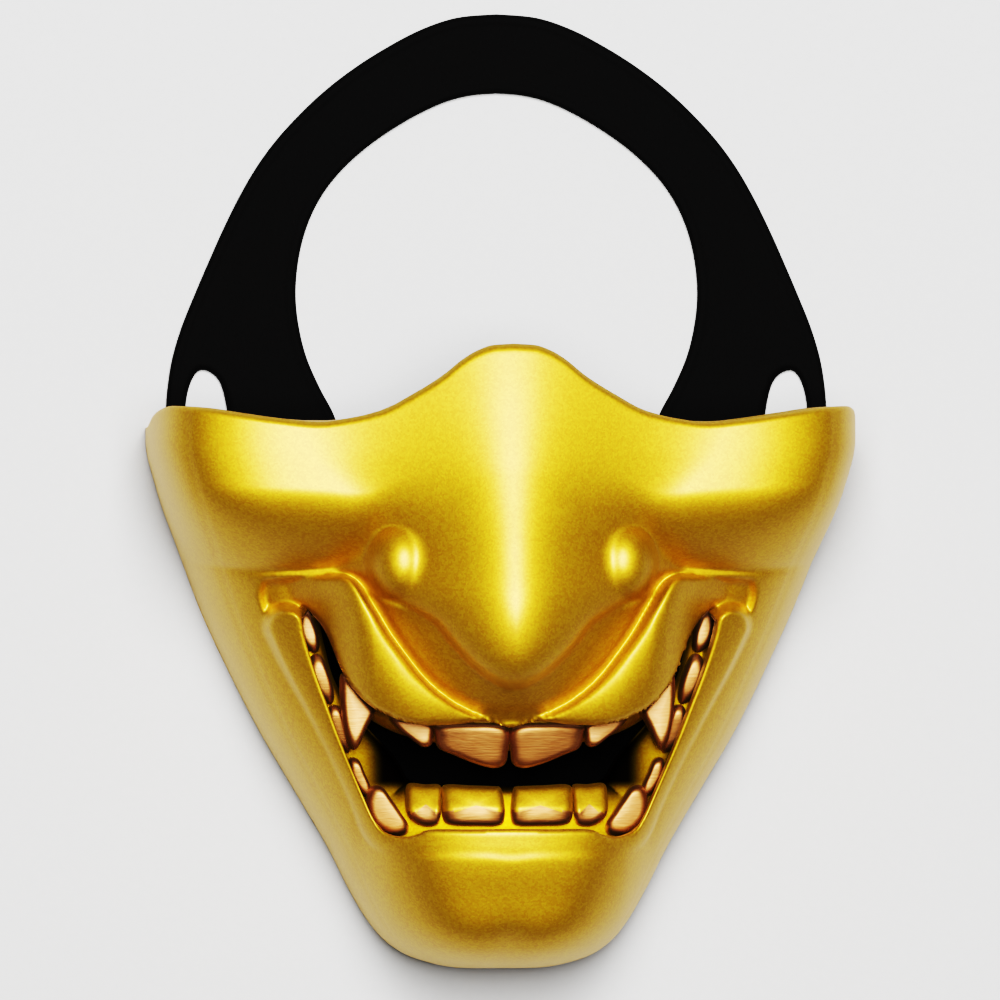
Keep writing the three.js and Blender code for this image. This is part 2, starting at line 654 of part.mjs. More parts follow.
// A closed body through rings of points with equal counts, with flat ends
function bodyThrough(rings) {
  const count = rings[0].length;
  const index = [];
  for (let ring = 0; ring < rings.length - 1; ring += 1) {
    for (let i = 0; i < count; i += 1) {
      const next = (i + 1) % count;
      const [a, b] = [ring * count + i, ring * count + next];
      index.push(a, b, b + count, a, b + count, a + count);
    }
  }
  const last = (rings.length - 1) * count;
  for (let i = 1; i < count - 1; i += 1) {
    index.push(0, i + 1, i);
    index.push(last, last + i, last + i + 1);
  }
  const geometry = new THREE.BufferGeometry();
  geometry.setAttribute('position', new THREE.Float32BufferAttribute(rings.flat(2), 3));
  geometry.setIndex(index);
  return solidFrom(geometry);
}

// Manifold solid of a closed geometry, turned right side out
function solidFrom(geometry) {
  geometry.deleteAttribute('normal');
  geometry.deleteAttribute('uv');
  const merged = mergeVertices(geometry, 1e-5);
  const vertProperties = new Float32Array(merged.attributes.position.array);
  const triVerts = new Uint32Array(merged.index.array);
  if (signedVolume(vertProperties, triVerts) < 0) {
    for (let i = 0; i < triVerts.length; i += 3) {
      [triVerts[i], triVerts[i + 1]] = [triVerts[i + 1], triVerts[i]];
    }
  }
  return new wasm.Manifold(new wasm.Mesh({ numProp: 3, vertProperties, triVerts }));
}

function signedVolume(positions, triangles) {
  const corner = (i) => new THREE.Vector3().fromArray(positions, triangles[i] * 3);
  let volume = 0;
  for (let i = 0; i < triangles.length; i += 3) {
    volume += corner(i).dot(corner(i + 1).cross(corner(i + 2)));
  }
  return volume;
}

function boxSolid(width, depth, height, x, y, z) {
  return solidFrom(new THREE.BoxGeometry(width, depth, height).translate(x, y, z));
}

// A prism along z through a closed outline in face coordinates
function prism(points, low, high) {
  const shape = new THREE.Shape(points.map(({ x, y }) => new THREE.Vector2(x, y + chinY)));
  const geometry = new THREE.ExtrudeGeometry(shape, { depth: high - low, bevelEnabled: false });
  return solidFrom(geometry.translate(0, 0, low));
}

// Whole outline from the half that runs from the middle back to the middle
function wholeLoop(halfLoop) {
  const left = halfLoop.slice(1, -1).reverse().map(({ x, y }) => ({ x: -x, y }));
  return [...halfLoop, ...left];
}

// Front of the shell as rows of points from the top edge to the chin
function shellFront() {
  const shares = columnShares(shellColumns, wallColumns, 11);
  const rows = [];
  for (let row = 0; row <= shellRows; row += 1) {
    const down = row / shellRows;
    const rowUp = down < 0.94 ? lerp(1, 0.05, down / 0.94) : 0.05 * (1 - ((down - 0.94) / 0.06)) ** 2;
    rows.push(mirrored(shares.map((share) => {
      const lift = (edgeUp(share) - 1) * smoothstep(rowUp, 0.55, 1);
      const y = (rowUp + lift) * maskHeight;
      const x = share * shellHalf(y, 0);
      const plain = plainHeight(share, y, 0);
      const carved = softCarving(x, y) * smoothstep(plain, 0, 0.08 * shellDepth);
      return [x, y + chinY, Math.max(plain, 0) + carved];
    })));
  }
  return rows;
}

// The space inside the shell, open behind and above, with its walls at an inset from the
// plain shell. It dips behind the sunk field of the mouth and rises into the nose.
function hollow(inset) {
  const shares = columnShares(hollowColumns, 4, 11);
  const bottom = inset / maskHeight;
  const rows = [];
  for (let row = 0; row <= hollowRows; row += 1) {
    const down = row / hollowRows;
    const up = lerp(1.05, bottom, down ** 0.85);
    const y = up * maskHeight;
    rows.push(mirrored(shares.map((share) => {
      const x = share * shellHalf(y, inset);
      const rise = Math.max(noseHeight(x, y) - 0.25 * noseRise, 0) * smoothstep(up, 0.45, 0.56);
      const sunk = fieldSunk(x, y, grooveWidth);
      return [x, y + chinY, plainHeight(share, y, inset) + rise - sunk];
    })));
  }
  const floor = rows.map((row) => row.map(([x, y]) => [x, y, -2 * underside]));
  return bodyBetween(rows, floor);
}

const mouthLoop = facePath(mouthEdge, 2);

// The mouth's outline, drawn in by a margin
function mouthPrism(margin) {
  const whole = wholeLoop(mouthLoop);
  const points = whole.map((point, i) => {
    const before = whole[(i + whole.length - 1) % whole.length];
    const after = whole[(i + 1) % whole.length];
    const along = new THREE.Vector2(after.x - before.x, after.y - before.y).normalize();
    return { x: point.x + along.y * margin, y: point.y - along.x * margin };
  });
  return prism(points, archDepth - archSweep, shellDepth + noseRise);
}

const shellBlock = (() => {
  const front = shellFront();
  const floor = front.map((row) => row.map(([x, y]) => [x, y, -underside]));
  return bodyBetween(front, floor);
})();
const belowRim = boxSolid(2 * maskWidth, 4 * maskHeight, 4 * underside, 0, 0, -2 * underside);
const shellSolid = shellBlock.subtract(hollow(wallThickness)).subtract(mouthPrism(0)).subtract(belowRim);

// What the shell keeps clear of other pieces, with its clearance
const hollowSpace = hollow(wallThickness + clearance);
const shellKeepOut = shellBlock.subtract(hollowSpace).subtract(mouthPrism(clearance));

// How far the lower row of teeth stands back at a height over the chin
const setbackAt = (y) => jawSetback * smoothstep(-y, -0.5 * maskHeight, -0.28 * maskHeight);

// Backs of a row of teeth and of its gum. setback: how far the row stands back there.
const toothSeat = (x, setback) => archDepth - archSweep * (x / halfWidth) ** 2 - setback - toothThickness;
const gumSeat = (x, setback) => toothSeat(x, setback) - clearance;
const gumBack = (x, setback) => gumSeat(x, setback) - gumThickness;

// A gum along its line: a flat seat behind the teeth whose free edge slopes back. The lower
// gum's free edge is its upper one.
function gumSolid(line, isLower, grow = 0) {
  const freeSide = isLower ? 1 : -1;
  const half = smoothRows(line, 2).map((row) => {
    const point = { x: row.across * halfWidth, y: row.up * maskHeight };
    return { ...point, over: row.over * halfWidth, under: row.under * halfWidth, drop: row.drop };
  });
  const whole = [...half.slice(1).reverse().map((point) => ({ ...point, x: -point.x })), ...half];
  const sheet = (backOnly) => whole.map((point, i) => {
    const before = whole[Math.max(i - 1, 0)];
    const after = whole[Math.min(i + 1, whole.length - 1)];
    const along = new THREE.Vector2(after.x - before.x, after.y - before.y).normalize();
    return [1, 0.45, 0, -1].map((place) => {
      const reach = place > 0 ? place * (point.over + grow) : place * (point.under + grow);
      const x = point.x - along.y * reach;
      const y = point.y + along.x * reach;
      const setback = isLower ? setbackAt(y) : 0;
      const free = clamp(place * freeSide, 0, 1);
      const front = gumSeat(x, setback) - point.drop * gumThickness * 0.9 * free * free;
      return [x, y + chinY, backOnly ? gumBack(x, setback) - grow : front + grow];
    });
  });
  return bodyBetween(sheet(false), sheet(true));
}

// A tooth as D-shaped sections from root to tip, its flat back on the arch of the gum
function toothSolid({ row, form, across, lean, root, tip, half, thick }) {
  const frontPoints = 7;
  const rings = toothForms[form].map((section) => {
    const y = lerp(root, tip, section.along) * maskHeight;
    const setback = row === 'lower' ? setbackAt(y) : 0;
    const middle = (across + lean * section.along) * halfWidth;
    const reach = half * section.half * halfWidth;
    const depth = thick * section.thick * toothThickness;
    const ring = [];
    for (let i = 0; i < frontPoints; i += 1) {
      const angle = (Math.PI * i) / (frontPoints - 1);
      const x = middle + reach * Math.sign(Math.cos(angle)) * Math.abs(Math.cos(angle)) ** 0.75;
      ring.push([x, y + chinY, toothSeat(x, setback) + depth * Math.sin(angle) ** 0.6]);
    }
    for (const place of [-0.5, 0, 0.5]) {
      const x = middle + reach * place;
      ring.push([x, y + chinY, toothSeat(x, setback)]);
    }
    return ring;
  });
  return bodyThrough(rings).subtract(shellKeepOut);
}

// Soft panel behind the teeth that closes the mouth
function backingSolid() {
  const rows = 12;
  const columns = 9;
  const gumReach = tableCurve(lowerGumLine.slice(1), 'up', 'across');
  const sheet = (offset) => {
    const result = [];
    for (let row = 0; row <= rows; row += 1) {
      const up = lerp(0.6, 0.225, row / rows);
      const half = (gumReach(up) + 0.02) * halfWidth;
      const line = [];
      for (let column = 0; column <= columns; column += 1) {
        const x = lerp(-half, half, column / columns);
        line.push([x, up * maskHeight + chinY, gumBack(x, setbackAt(up * maskHeight)) - clearance - offset]);
      }
      result.push(line);
    }
    return result;
  };
  return bodyBetween(sheet(0), sheet(backingThickness)).intersect(hollowSpace);
}

// Flat strap with a slot for each ear and an upright end glued to each side wall
function strapSolid() {
  const half = smoothRows(strapStations, 2);
  const place = (across, up, side, z) => [side * across * halfWidth, up * strapRise + earLine + chinY, z];
  const sheet = (z) => {
    const rowAt = (station, side) => [0, 0.35, 0.7, 1].map((share) => {
      const across = lerp(station.inner, station.outer, share);
      return place(across, lerp(station.innerUp, station.outerUp, share), side, z);
    });
    const left = half.slice(1).reverse().map((station) => rowAt(station, -1));
    return [...left, ...half.map((station) => rowAt(station, 1))];
  };
  let strap = bodyBetween(sheet(strapThickness), sheet(0));
  for (const side of [-1, 1]) {
    const slot = smoothRows(earSlot, 2, true).map(({ across, up }) => ({
      x: side * across * halfWidth,
      y: up * strapRise + earLine,
    }));
    strap = strap.subtract(prism(slot, -underside, 2 * underside));
    const outerFace = wallThickness + clearance;
    const layer = hollow(outerFace).subtract(hollow(outerFace + strapThickness));
    const tabY = earLine + chinY - 0.13 * strapRise;
    const tabX = side * 0.93 * halfWidth;
    const zone = boxSolid(0.3 * halfWidth, tabLength, tabHeight, tabX, tabY, tabHeight / 2);
    strap = strap.add(layer.intersect(zone));
  }
  return strap.subtract(shellKeepOut);
}

function meshOf(name, solid, finish) {
  const { vertProperties, triVerts } = solid.getMesh();
  const geometry = new THREE.BufferGeometry();
  geometry.setAttribute('position', new THREE.BufferAttribute(vertProperties, 3));
  geometry.setIndex(new THREE.BufferAttribute(triVerts, 1));
  geometry.computeVertexNormals();
  const mesh = new THREE.Mesh(geometry, new THREE.MeshStandardMaterial(finish));
  mesh.name = name;
  return mesh;
}

const mask = new THREE.Group();
mask.add(meshOf('face_shell', shellSolid, goldPaint));

const upperGum = gumSolid(upperGumLine, false);
const lowerGum = gumSolid(lowerGumLine, true);
const upperGumRoom = gumSolid(upperGumLine, false, clearance);
mask.add(meshOf('upper_gum', upperGum.subtract(shellKeepOut), goldPaint));
mask.add(meshOf('lower_gum', lowerGum.subtract(shellKeepOut).subtract(upperGumRoom), goldPaint));
mask.add(meshOf('mouth_backing', backingSolid(), blackFoam));

const mouth = new THREE.Group();
for (const tooth of teeth) {
  mouth.add(meshOf(`${tooth.name}_right`, toothSolid(tooth), copperPaint));
  const left = { ...tooth, across: -tooth.across, lean: -tooth.lean };
  mouth.add(meshOf(`${tooth.name}_left`, toothSolid(left), copperPaint));
}
mask.add(mouth);
mask.add(meshOf('head_strap', strapSolid(), blackNeoprene));

export default mask;
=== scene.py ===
"""Demon-faced half mask: gold shell, copper teeth, black strap. Tables are in millimetres."""
import math

import bmesh
import bpy
import numpy as np
from mathutils import Matrix, Vector


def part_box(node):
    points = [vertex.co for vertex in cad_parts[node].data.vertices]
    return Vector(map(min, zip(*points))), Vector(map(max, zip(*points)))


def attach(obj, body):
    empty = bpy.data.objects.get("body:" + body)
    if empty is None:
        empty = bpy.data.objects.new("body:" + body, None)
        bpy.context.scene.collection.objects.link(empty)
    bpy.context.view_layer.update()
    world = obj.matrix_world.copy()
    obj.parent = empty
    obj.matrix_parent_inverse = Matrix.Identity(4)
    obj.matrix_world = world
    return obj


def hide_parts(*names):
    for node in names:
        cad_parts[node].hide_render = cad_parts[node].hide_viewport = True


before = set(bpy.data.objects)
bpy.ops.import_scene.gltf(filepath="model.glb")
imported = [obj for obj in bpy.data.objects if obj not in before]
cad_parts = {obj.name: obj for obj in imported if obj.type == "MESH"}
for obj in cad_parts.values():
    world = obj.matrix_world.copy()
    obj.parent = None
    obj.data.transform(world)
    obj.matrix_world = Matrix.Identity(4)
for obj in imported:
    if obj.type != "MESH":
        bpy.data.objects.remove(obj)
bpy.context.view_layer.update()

MM = 0.001

# Sizes that the frame gives
shell_low, shell_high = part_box("face_shell")
HALF_WIDTH = (shell_high.x - shell_low.x) / 2 / MM
CHIN = shell_low.y / MM
HEIGHT = (shell_high.y - shell_low.y) / MM
strap_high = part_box("head_strap")[1]
TAB_HEIGHT = strap_high.z / MM

# Sizes of the casting and of the soft parts
SHELL_DEPTH = 78.0
WALL = 2.8
NOSE_HOLLOW = 6.5
LIP_ROUND = 0.9
EDGE_ROUND = 1.5
TEETH_SET_IN = 11.8
ARCH_SWEEP = SHELL_DEPTH * 2 / 3
JAW_SETBACK = 7.0
TOOTH_THICKNESS = 5.2
GUM_THICKNESS = 7.0
BACKING_THICKNESS = 1.6
STRAP_THICKNESS = 2.6
CLEARANCE = 0.3

# Camera: straight over the face, turned a little to the face's right
CAMERA_DISTANCE = 3400.0
CAMERA_TURN = math.radians(3.0)
VIEW_WIDTH = 250.0
VIEW_LEVEL = 10.0
VIEW_CENTRE = (0.4, -2.2)
FILM_WIDTH = 36.0

# What the picture makes of light: deep shadows, and highlights that fill slowly
FILM_RESPONSE = [
    (0.035, 0.018), (0.057, 0.05), (0.092, 0.13), (0.148, 0.29), (0.238, 0.49), (0.384, 0.67),
    (0.62, 0.82),
]
FILM_WHITE = (1.0, 0.93)

# Shell sections: height over the chin, half width, height of the crest, share of it lost at the
# side, power of that loss, and how squarely the face turns into the side
SECTIONS = [
    (0.0, 10.0, 0.0, 0.2, 2.0, 3.0), (1.2, 15.8, 28.0, 0.2, 2.0, 3.0), (3.7, 23.4, 45.2, 0.17, 2.2, 3.2),
    (7.5, 28.7, 54.6, 0.16, 2.4, 3.6), (12.4, 32.7, 59.6, 0.16, 2.6, 4.2), (20.0, 37.2, 63.4, 0.17, 2.4, 4.8),
    (30.0, 42.2, 67.0, 0.21, 2.2, 5.2), (45.0, 51.0, 69.0, 0.27, 2.2, 6.0), (60.0, 59.8, 71.0, 0.3, 2.4, 8.0),
    (75.0, 67.5, 72.4, 0.31, 2.8, 10.0), (90.0, 74.4, 72.8, 0.3, 3.8, 13.0),
    (105.0, 80.0, 72.0, 0.26, 6.0, 20.0), (120.0, 85.3, 71.0, 0.23, 8.0, 30.0),
    (132.5, 88.0, 70.2, 0.22, 8.0, 34.0), (142.5, 88.0, 69.4, 0.22, 8.0, 34.0),
    (155.5, 88.0, 68.0, 0.22, 8.0, 34.0),
]

# Top edge: share of the half width, share of the height
TOP_EDGE = [
    (0.0, 1.0), (0.057, 0.998), (0.1, 0.99), (0.142, 0.976), (0.199, 0.95), (0.284, 0.92),
    (0.369, 0.895), (0.455, 0.883), (0.54, 0.877), (0.653, 0.883), (0.767, 0.892), (0.881, 0.901),
    (0.945, 0.903), (0.972, 0.898), (0.99, 0.888), (1.0, 0.87),
]

# The lines below give the distance from the middle of the face and the height over the chin

# Cheek pad at a distance from the middle: height over the chin of its foot, reach of its rounded
# slope, and height over the plain shell of the face at that foot
CHEEK_FOOT = [
    (0.0, 118.0, 10.0, 8.0), (19.0, 116.0, 10.0, 8.0), (23.0, 114.0, 10.5, 6.6), (27.0, 111.6, 11.5, 3.8),
    (30.0, 109.4, 12.5, 1.0), (33.0, 106.4, 14.0, -1.6), (36.0, 103.2, 16.0, -3.6), (40.0, 101.2, 18.0, -5.0),
    (46.0, 100.4, 19.5, -6.0), (58.0, 100.0, 20.5, -6.6), (66.0, 100.3, 20.5, -6.6),
    (76.0, 101.4, 20.0, -5.6), (90.0, 104.0, 19.0, -3.0),
]
CHEEK_TOP = 10.0
CHEEK_POWER = 1.75
# Under the cheeks the face keeps that height above the second level, and none below the first
CHEEK_FADE = (52.0, 90.0)

# Groove along the foot of the cheek: depth and half width
GROOVE_LINE = [
    (72.0, 100.4, 0.0, 1.0), (65.0, 99.9, 0.4, 1.1), (54.0, 100.0, 0.75, 1.1),
    (45.0, 101.0, 0.75, 1.1), (39.4, 102.0, 0.5, 1.1), (36.6, 104.0, 0.0, 1.1),
]

# Outer crease of the sunk mouth field, and its closing line behind the nose
MOUTH_FIELD = [
    (60.3, 97.4), (56.3, 98.0), (50.0, 98.2), (45.0, 98.5), (40.0, 99.2), (35.0, 97.0),
    (30.0, 88.0), (22.0, 77.0), (12.0, 69.0), (0.0, 66.5), (-12.0, 69.0), (-12.0, 29.2),
    (0.0, 28.8), (7.0, 29.4), (19.5, 29.5), (26.8, 29.5), (31.5, 31.3), (34.5, 34.2),
    (36.5, 38.4), (38.9, 44.0), (40.7, 48.3), (43.6, 54.6), (46.0, 59.8), (49.3, 66.0),
    (53.4, 74.3), (56.8, 81.6), (58.8, 86.0), (60.2, 90.0), (61.2, 94.0),
]
# Depth of that field at a height over the chin
FIELD_DEPTH = [(26.0, 0.3), (45.0, 0.8), (62.0, 1.0), (75.0, 1.6), (88.0, 2.8), (97.0, 3.6)]
# The step down into it, from outside its crease to inside
FIELD_STEP = (-0.6, 1.6)

# Upper lip: its crease on the side of the nose, and its free edge out to the corner
LIP_CREASE = [
    (60.8, 96.8), (57.0, 97.9), (52.5, 98.2), (47.2, 98.4), (43.4, 98.8), (40.8, 98.8), (38.3, 97.3),
    (36.2, 94.2), (33.1, 89.1), (30.0, 83.9), (26.4, 79.0), (22.8, 74.4), (18.8, 70.4),
    (14.4, 67.2), (10.6, 65.2), (7.6, 64.0), (4.5, 62.9), (0.0, 62.0), (-4.5, 62.9),
]
LIP_EDGE = [
    (-4.5, 62.7), (0.0, 61.4), (1.9, 61.8), (5.3, 62.8), (8.5, 62.9), (12.4, 62.3), (17.3, 62.0),
    (22.0, 62.0), (26.8, 63.0), (30.0, 64.3), (33.5, 66.0), (36.8, 68.8), (39.4, 72.0),
    (41.4, 75.6), (43.2, 80.2), (45.0, 84.5), (47.3, 88.0), (50.0, 90.8), (52.0, 92.3),
    (54.7, 93.7), (58.0, 93.9),
]
# Height of the lip's crest at a distance from the middle
LIP_RISE = [
    (0.0, 1.4), (5.0, 1.6), (8.5, 2.2), (12.5, 3.4), (17.0, 5.0), (22.0, 6.2), (29.0, 7.2),
    (34.0, 7.3), (37.0, 6.6), (40.0, 4.6), (43.0, 1.4), (46.0, -2.4), (50.0, -6.6), (54.0, -10.0),
    (58.0, -12.0), (62.0, -12.0),
]
# Section of the lip from its crease to its free edge: share of its width, share of its rise
# over the foot of the slope below the nose
LIP_SECTION = [
    (0.0, 0.0), (0.02, 0.5), (0.05, 0.82), (0.1, 0.94), (0.18, 0.99), (0.27, 1.0), (0.38, 0.985),
    (0.52, 0.94), (0.65, 0.88), (0.8, 0.79), (0.92, 0.7), (1.0, 0.6),
]

# Slope from under the nose down to the lip: distance from the middle, height at its top, height
# at the lip's crease
TROUGH = [
    (0.0, 10.0, 0.6), (10.0, 9.5, 0.8), (20.0, 8.5, 1.2), (28.0, 6.4, 1.0), (33.0, 3.0, -0.6),
    (37.0, 0.0, -2.8), (42.0, -3.4, -5.2), (48.0, -6.0, -7.0), (54.0, -8.0, -10.6), (60.0, -10.0, -12.4),
]

# Back edge of the mouth, from its corner down and in to the middle of the lower lip. The upper
# edge is the lip's free edge out to the corner.
MOUTH_CORNER = 50.4
MOUTH_BACK = [
    (50.9, 90.6), (51.2, 88.0), (50.8, 85.0), (49.9, 81.6), (48.9, 78.2), (47.7, 74.6),
    (46.2, 70.6), (44.8, 67.0), (43.1, 62.4), (41.2, 57.4), (39.3, 52.6), (37.3, 47.8),
    (35.4, 43.4), (33.5, 39.2), (31.0, 35.8), (26.5, 34.2), (22.5, 35.0), (19.5, 36.2),
    (10.0, 36.3), (0.0, 36.4),
]

# Lower lip and the strip beside the mouth: half width and rise
LOWER_LIP = [
    (-8.0, 31.6, 3.2, 3.6), (0.0, 31.4, 3.2, 3.6), (8.0, 31.6, 3.2, 3.6), (19.0, 31.6, 3.1, 3.5),
    (26.0, 31.4, 2.8, 3.3), (30.6, 33.0, 2.8, 3.0), (33.4, 36.4, 2.7, 2.6), (36.0, 42.2, 2.4, 2.1),
    (39.6, 50.0, 2.3, 1.7), (43.8, 59.4, 2.5, 1.3), (47.6, 68.2, 3.0, 0.9), (51.6, 77.4, 3.6, 0.5),
    (55.0, 86.0, 4.0, 0.0),
]
LOWER_LIP_POWER = 2.3

# Nose: height over the chin, rise, radius of the ridge, fall of the sides, blend into the cheeks
NOSE_SECTIONS = [
    (68.0, 25.0, 20.0, 0.98, 0.6), (76.0, 25.6, 19.0, 1.0, 0.7), (84.0, 25.2, 18.0, 1.02, 0.9),
    (92.0, 24.6, 17.0, 1.04, 1.6), (104.0, 23.2, 17.0, 1.0, 4.0), (117.0, 21.4, 18.0, 0.8, 9.0),
    (130.0, 19.8, 20.0, 0.64, 12.0), (142.0, 18.6, 22.0, 0.56, 12.0), (155.5, 17.4, 24.0, 0.52, 12.0),
]

# Underside of the nose from the middle to the wing, closed above: turn and drop of its edge
NOSE_EDGE = [
    (-11.4, 78.4), (-6.8, 74.4), (-2.3, 72.0), (0.0, 71.6), (2.3, 72.0), (6.8, 74.4), (11.4, 78.4),
    (15.5, 83.0), (19.0, 87.2), (24.0, 90.2), (29.0, 92.0), (33.0, 93.6), (38.0, 97.0),
    (48.0, 104.0), (58.0, 118.0), (58.0, 170.0), (-58.0, 170.0), (-58.0, 118.0), (-30.0, 96.0),
]
NOSE_TURN = [
    (0.0, 19.0, 13.0), (10.0, 14.0, 9.5), (20.0, 8.5, 5.5), (32.0, 5.0, 4.0), (50.0, 4.0, 4.0),
]

# Wing of the nose, an egg: its middle, its half width and half height, its foot and its rise
WING_MIDDLE = (26.9, 102.4)
WING_HALF = (8.9, 11.2)
WING_FOOT = -1.5
WING_RISE = 14.0
WING_POWER = 1.15

# Beyond its outline a form falls away at these slopes, and so hides under its neighbours
NOSE_FALL_AWAY = 6.0
FORM_FALL_AWAY = 20.0

# How softly the forms join. The wing's join is wider on the side of the nose.
WING_JOIN = 1.0
WING_JOIN_ADDED = 3.5
LOWER_LIP_JOIN = 0.9
UPPER_LIP_JOIN = 0.5

# Chin: a low bump on each side of a shallow cleft
CHIN_BUMP = (11.0, 7.0)
CHIN_BUMP_SIZE = (11.0, 7.0)
CHIN_BUMP_RISE = 1.0
CLEFT_SIZE = 4.0
CLEFT_DEPTH = 1.6

# Hollow behind the relief: the levels between which the nose's hollow begins, and how much wider
# than its field the inner face sinks behind the mouth
HOLLOW_BEGINS = (70.0, 87.0)
FIELD_SPREAD = 2.6

# Grids of the shell: columns over half the face, columns down its side, rows
OUTER_GRID = (130, 22, 262)
INNER_GRID = (26, 8, 60)

# Gum lines: reach over and under the line, and fall of the free edge as a share of the gum
UPPER_GUM = [
    (0.0, 63.8, 5.3, 8.4, 0.3), (7.9, 63.9, 5.3, 7.9, 0.3), (15.8, 64.1, 5.3, 7.0, 0.3),
    (24.6, 65.3, 5.3, 6.2, 0.3), (31.7, 68.1, 5.3, 5.3, 0.3), (36.5, 72.0, 4.8, 4.4, 0.3),
]
LOWER_GUM = [
    (0.0, 35.0, 11.4, 3.5, 0.2), (8.8, 35.0, 11.4, 3.5, 0.2), (17.6, 35.3, 11.4, 3.5, 0.3),
    (26.4, 35.9, 12.3, 3.5, 0.6), (33.3, 39.8, 12.3, 4.0, 0.9), (37.3, 48.2, 11.4, 4.0, 0.9),
    (41.2, 56.3, 8.8, 4.0, 0.9), (44.4, 64.1, 6.2, 4.0, 0.8), (47.1, 71.8, 4.8, 4.0, 0.7),
    (49.0, 80.1, 4.4, 3.5, 0.7), (50.3, 88.3, 4.0, 3.1, 0.7),
]
GUM_FALL = 0.95
GUM_FALL_POWER = 1.3
GUM_ROUND = 2.0

# Teeth of one side: outline, then row, thickness, flatness, turn and downward tilt of the face, and
# the level over the chin above which the tooth is gold and slopes back
TEETH = {
    "upper_incisor": (
        [(0.4, 61.4), (9.0, 62.4), (17.9, 62.0), (18.4, 59.6), (17.4, 56.2), (13.5, 54.4), (8.6, 52.4),
         (3.8, 51.2), (1.0, 52.2), (0.3, 55.4)],
        "upper", 4.6, 10.0, 1.0, 0.3, None),
    "upper_lateral": (
        [(18.8, 62.0), (24.0, 63.4), (29.2, 63.6), (27.4, 61.0), (24.6, 58.8), (21.4, 56.5),
         (19.2, 56.8), (18.6, 59.0)],
        "upper", 4.6, 9.0, 0.3, 0.0, None),
    "upper_fang": (
        [(33.0, 66.0), (36.2, 70.0), (39.6, 74.0), (41.4, 73.6), (41.2, 66.0), (40.2, 59.6),
         (38.8, 56.2), (37.7, 55.6), (36.4, 57.2), (34.6, 61.2), (33.0, 64.2)],
        "upper", 7.0, 9.0, 0.1, 0.0, None),
    "lower_incisor": (
        [(1.6, 46.2), (3.2, 46.6), (9.0, 46.8), (15.6, 46.8), (16.2, 43.2), (16.0, 38.6), (14.0, 37.0),
         (8.0, 36.7), (2.0, 36.9), (0.7, 39.2), (0.9, 43.6)],
        "lower", 4.4, 12.0, 1.0, 0.28, 40.6),
    "lower_lateral": (
        [(16.4, 46.8), (20.0, 47.0), (24.2, 47.2), (25.0, 44.4), (24.6, 39.4), (21.4, 36.8),
         (17.6, 36.8), (16.5, 39.0), (16.3, 43.2)],
        "lower", 4.2, 10.0, 0.7, 0.28, 40.2),
    "lower_canine": (
        [(31.0, 46.6), (33.6, 46.6), (34.9, 43.6), (34.4, 39.8), (32.4, 36.6), (28.6, 34.4),
         (25.0, 34.6), (24.2, 36.8), (26.0, 39.8), (28.6, 43.6)],
        "lower", 6.6, 9.0, 0.2, 0.1, None),
    "side_tooth_1": (
        [(36.6, 53.2), (38.8, 53.4), (39.0, 50.6), (37.6, 47.4), (35.4, 44.2), (33.6, 43.6),
         (33.4, 46.0), (35.0, 49.8)],
        "lower", 5.6, 6.0, 0.1, 0.0, None),
    "side_tooth_2": (
        [(41.4, 66.2), (43.8, 66.4), (44.6, 63.6), (44.0, 59.8), (41.8, 56.2), (39.2, 54.6),
         (38.4, 56.6), (39.6, 61.4)],
        "lower", 5.4, 6.0, 0.1, 0.0, None),
    "side_tooth_3": (
        [(45.8, 78.8), (48.0, 79.0), (49.0, 76.0), (47.6, 71.2), (45.4, 67.6), (43.2, 66.8),
         (42.6, 69.4), (43.8, 74.4)],
        "lower", 5.2, 6.0, 0.1, 0.0, None),
    "side_tooth_4": (
        [(49.0, 90.0), (51.0, 90.4), (51.6, 86.6), (50.4, 82.0), (48.2, 79.6), (46.4, 80.2),
         (46.4, 83.6), (47.6, 87.4)],
        "lower", 4.8, 6.0, 0.1, 0.0, None),
}
# Section of a tooth from its rim to near its middle, as shares of its thickness. The side walls
# are the first rings, and stay gold. The root goes into the gum.
TOOTH_RINGS = (0.0, 0.2, 0.4, 0.6, 0.76, 0.88, 0.95, 0.985, 0.997)
TOOTH_SIDE_RINGS = 3
TOOTH_ROOT = 1.2
# Above its level a lower tooth slopes back, and the slope sets in over this distance
LEDGE_ONSET = 1.2

# Black sheet behind the teeth, painted shade for the dark inside the mouth: its upper and lower end
# over the chin, its lap past the gum, and its distance from the shell's inner face
BACKING_REACH = (93.0, 35.2)
BACKING_LAP = 1.7
BACKING_GAP = 0.8

# Strap from the middle of its top to its end under the mask: outer edge, then inner edge
STRAP_STATIONS = [
    (0.0, 239.0, 0.0, 219.2), (10.0, 238.1, 6.2, 218.7), (19.2, 235.0, 12.4, 217.2),
    (28.6, 230.0, 18.8, 214.4), (36.6, 224.8, 25.0, 210.9), (43.6, 219.3, 30.8, 207.0),
    (49.8, 213.4, 35.7, 203.0), (55.4, 207.2, 39.8, 198.9), (60.2, 200.6, 43.3, 194.4),
    (64.5, 193.2, 46.3, 189.0), (68.6, 184.9, 48.6, 182.6), (72.3, 176.6, 50.0, 175.4),
    (75.8, 168.4, 50.4, 168.0), (79.0, 160.4, 49.6, 160.6), (81.3, 152.6, 47.7, 153.0),
    (82.5, 145.0, 44.4, 145.4), (83.0, 137.4, 40.6, 138.0), (83.4, 130.0, 38.9, 130.0),
    (83.4, 122.0, 44.0, 121.5), (81.0, 116.2, 52.0, 116.2),
]
STRAP_EDGE = 1.3
# How much lower the sheet lies than the rim round its slots
STRAP_LOW = 0.22

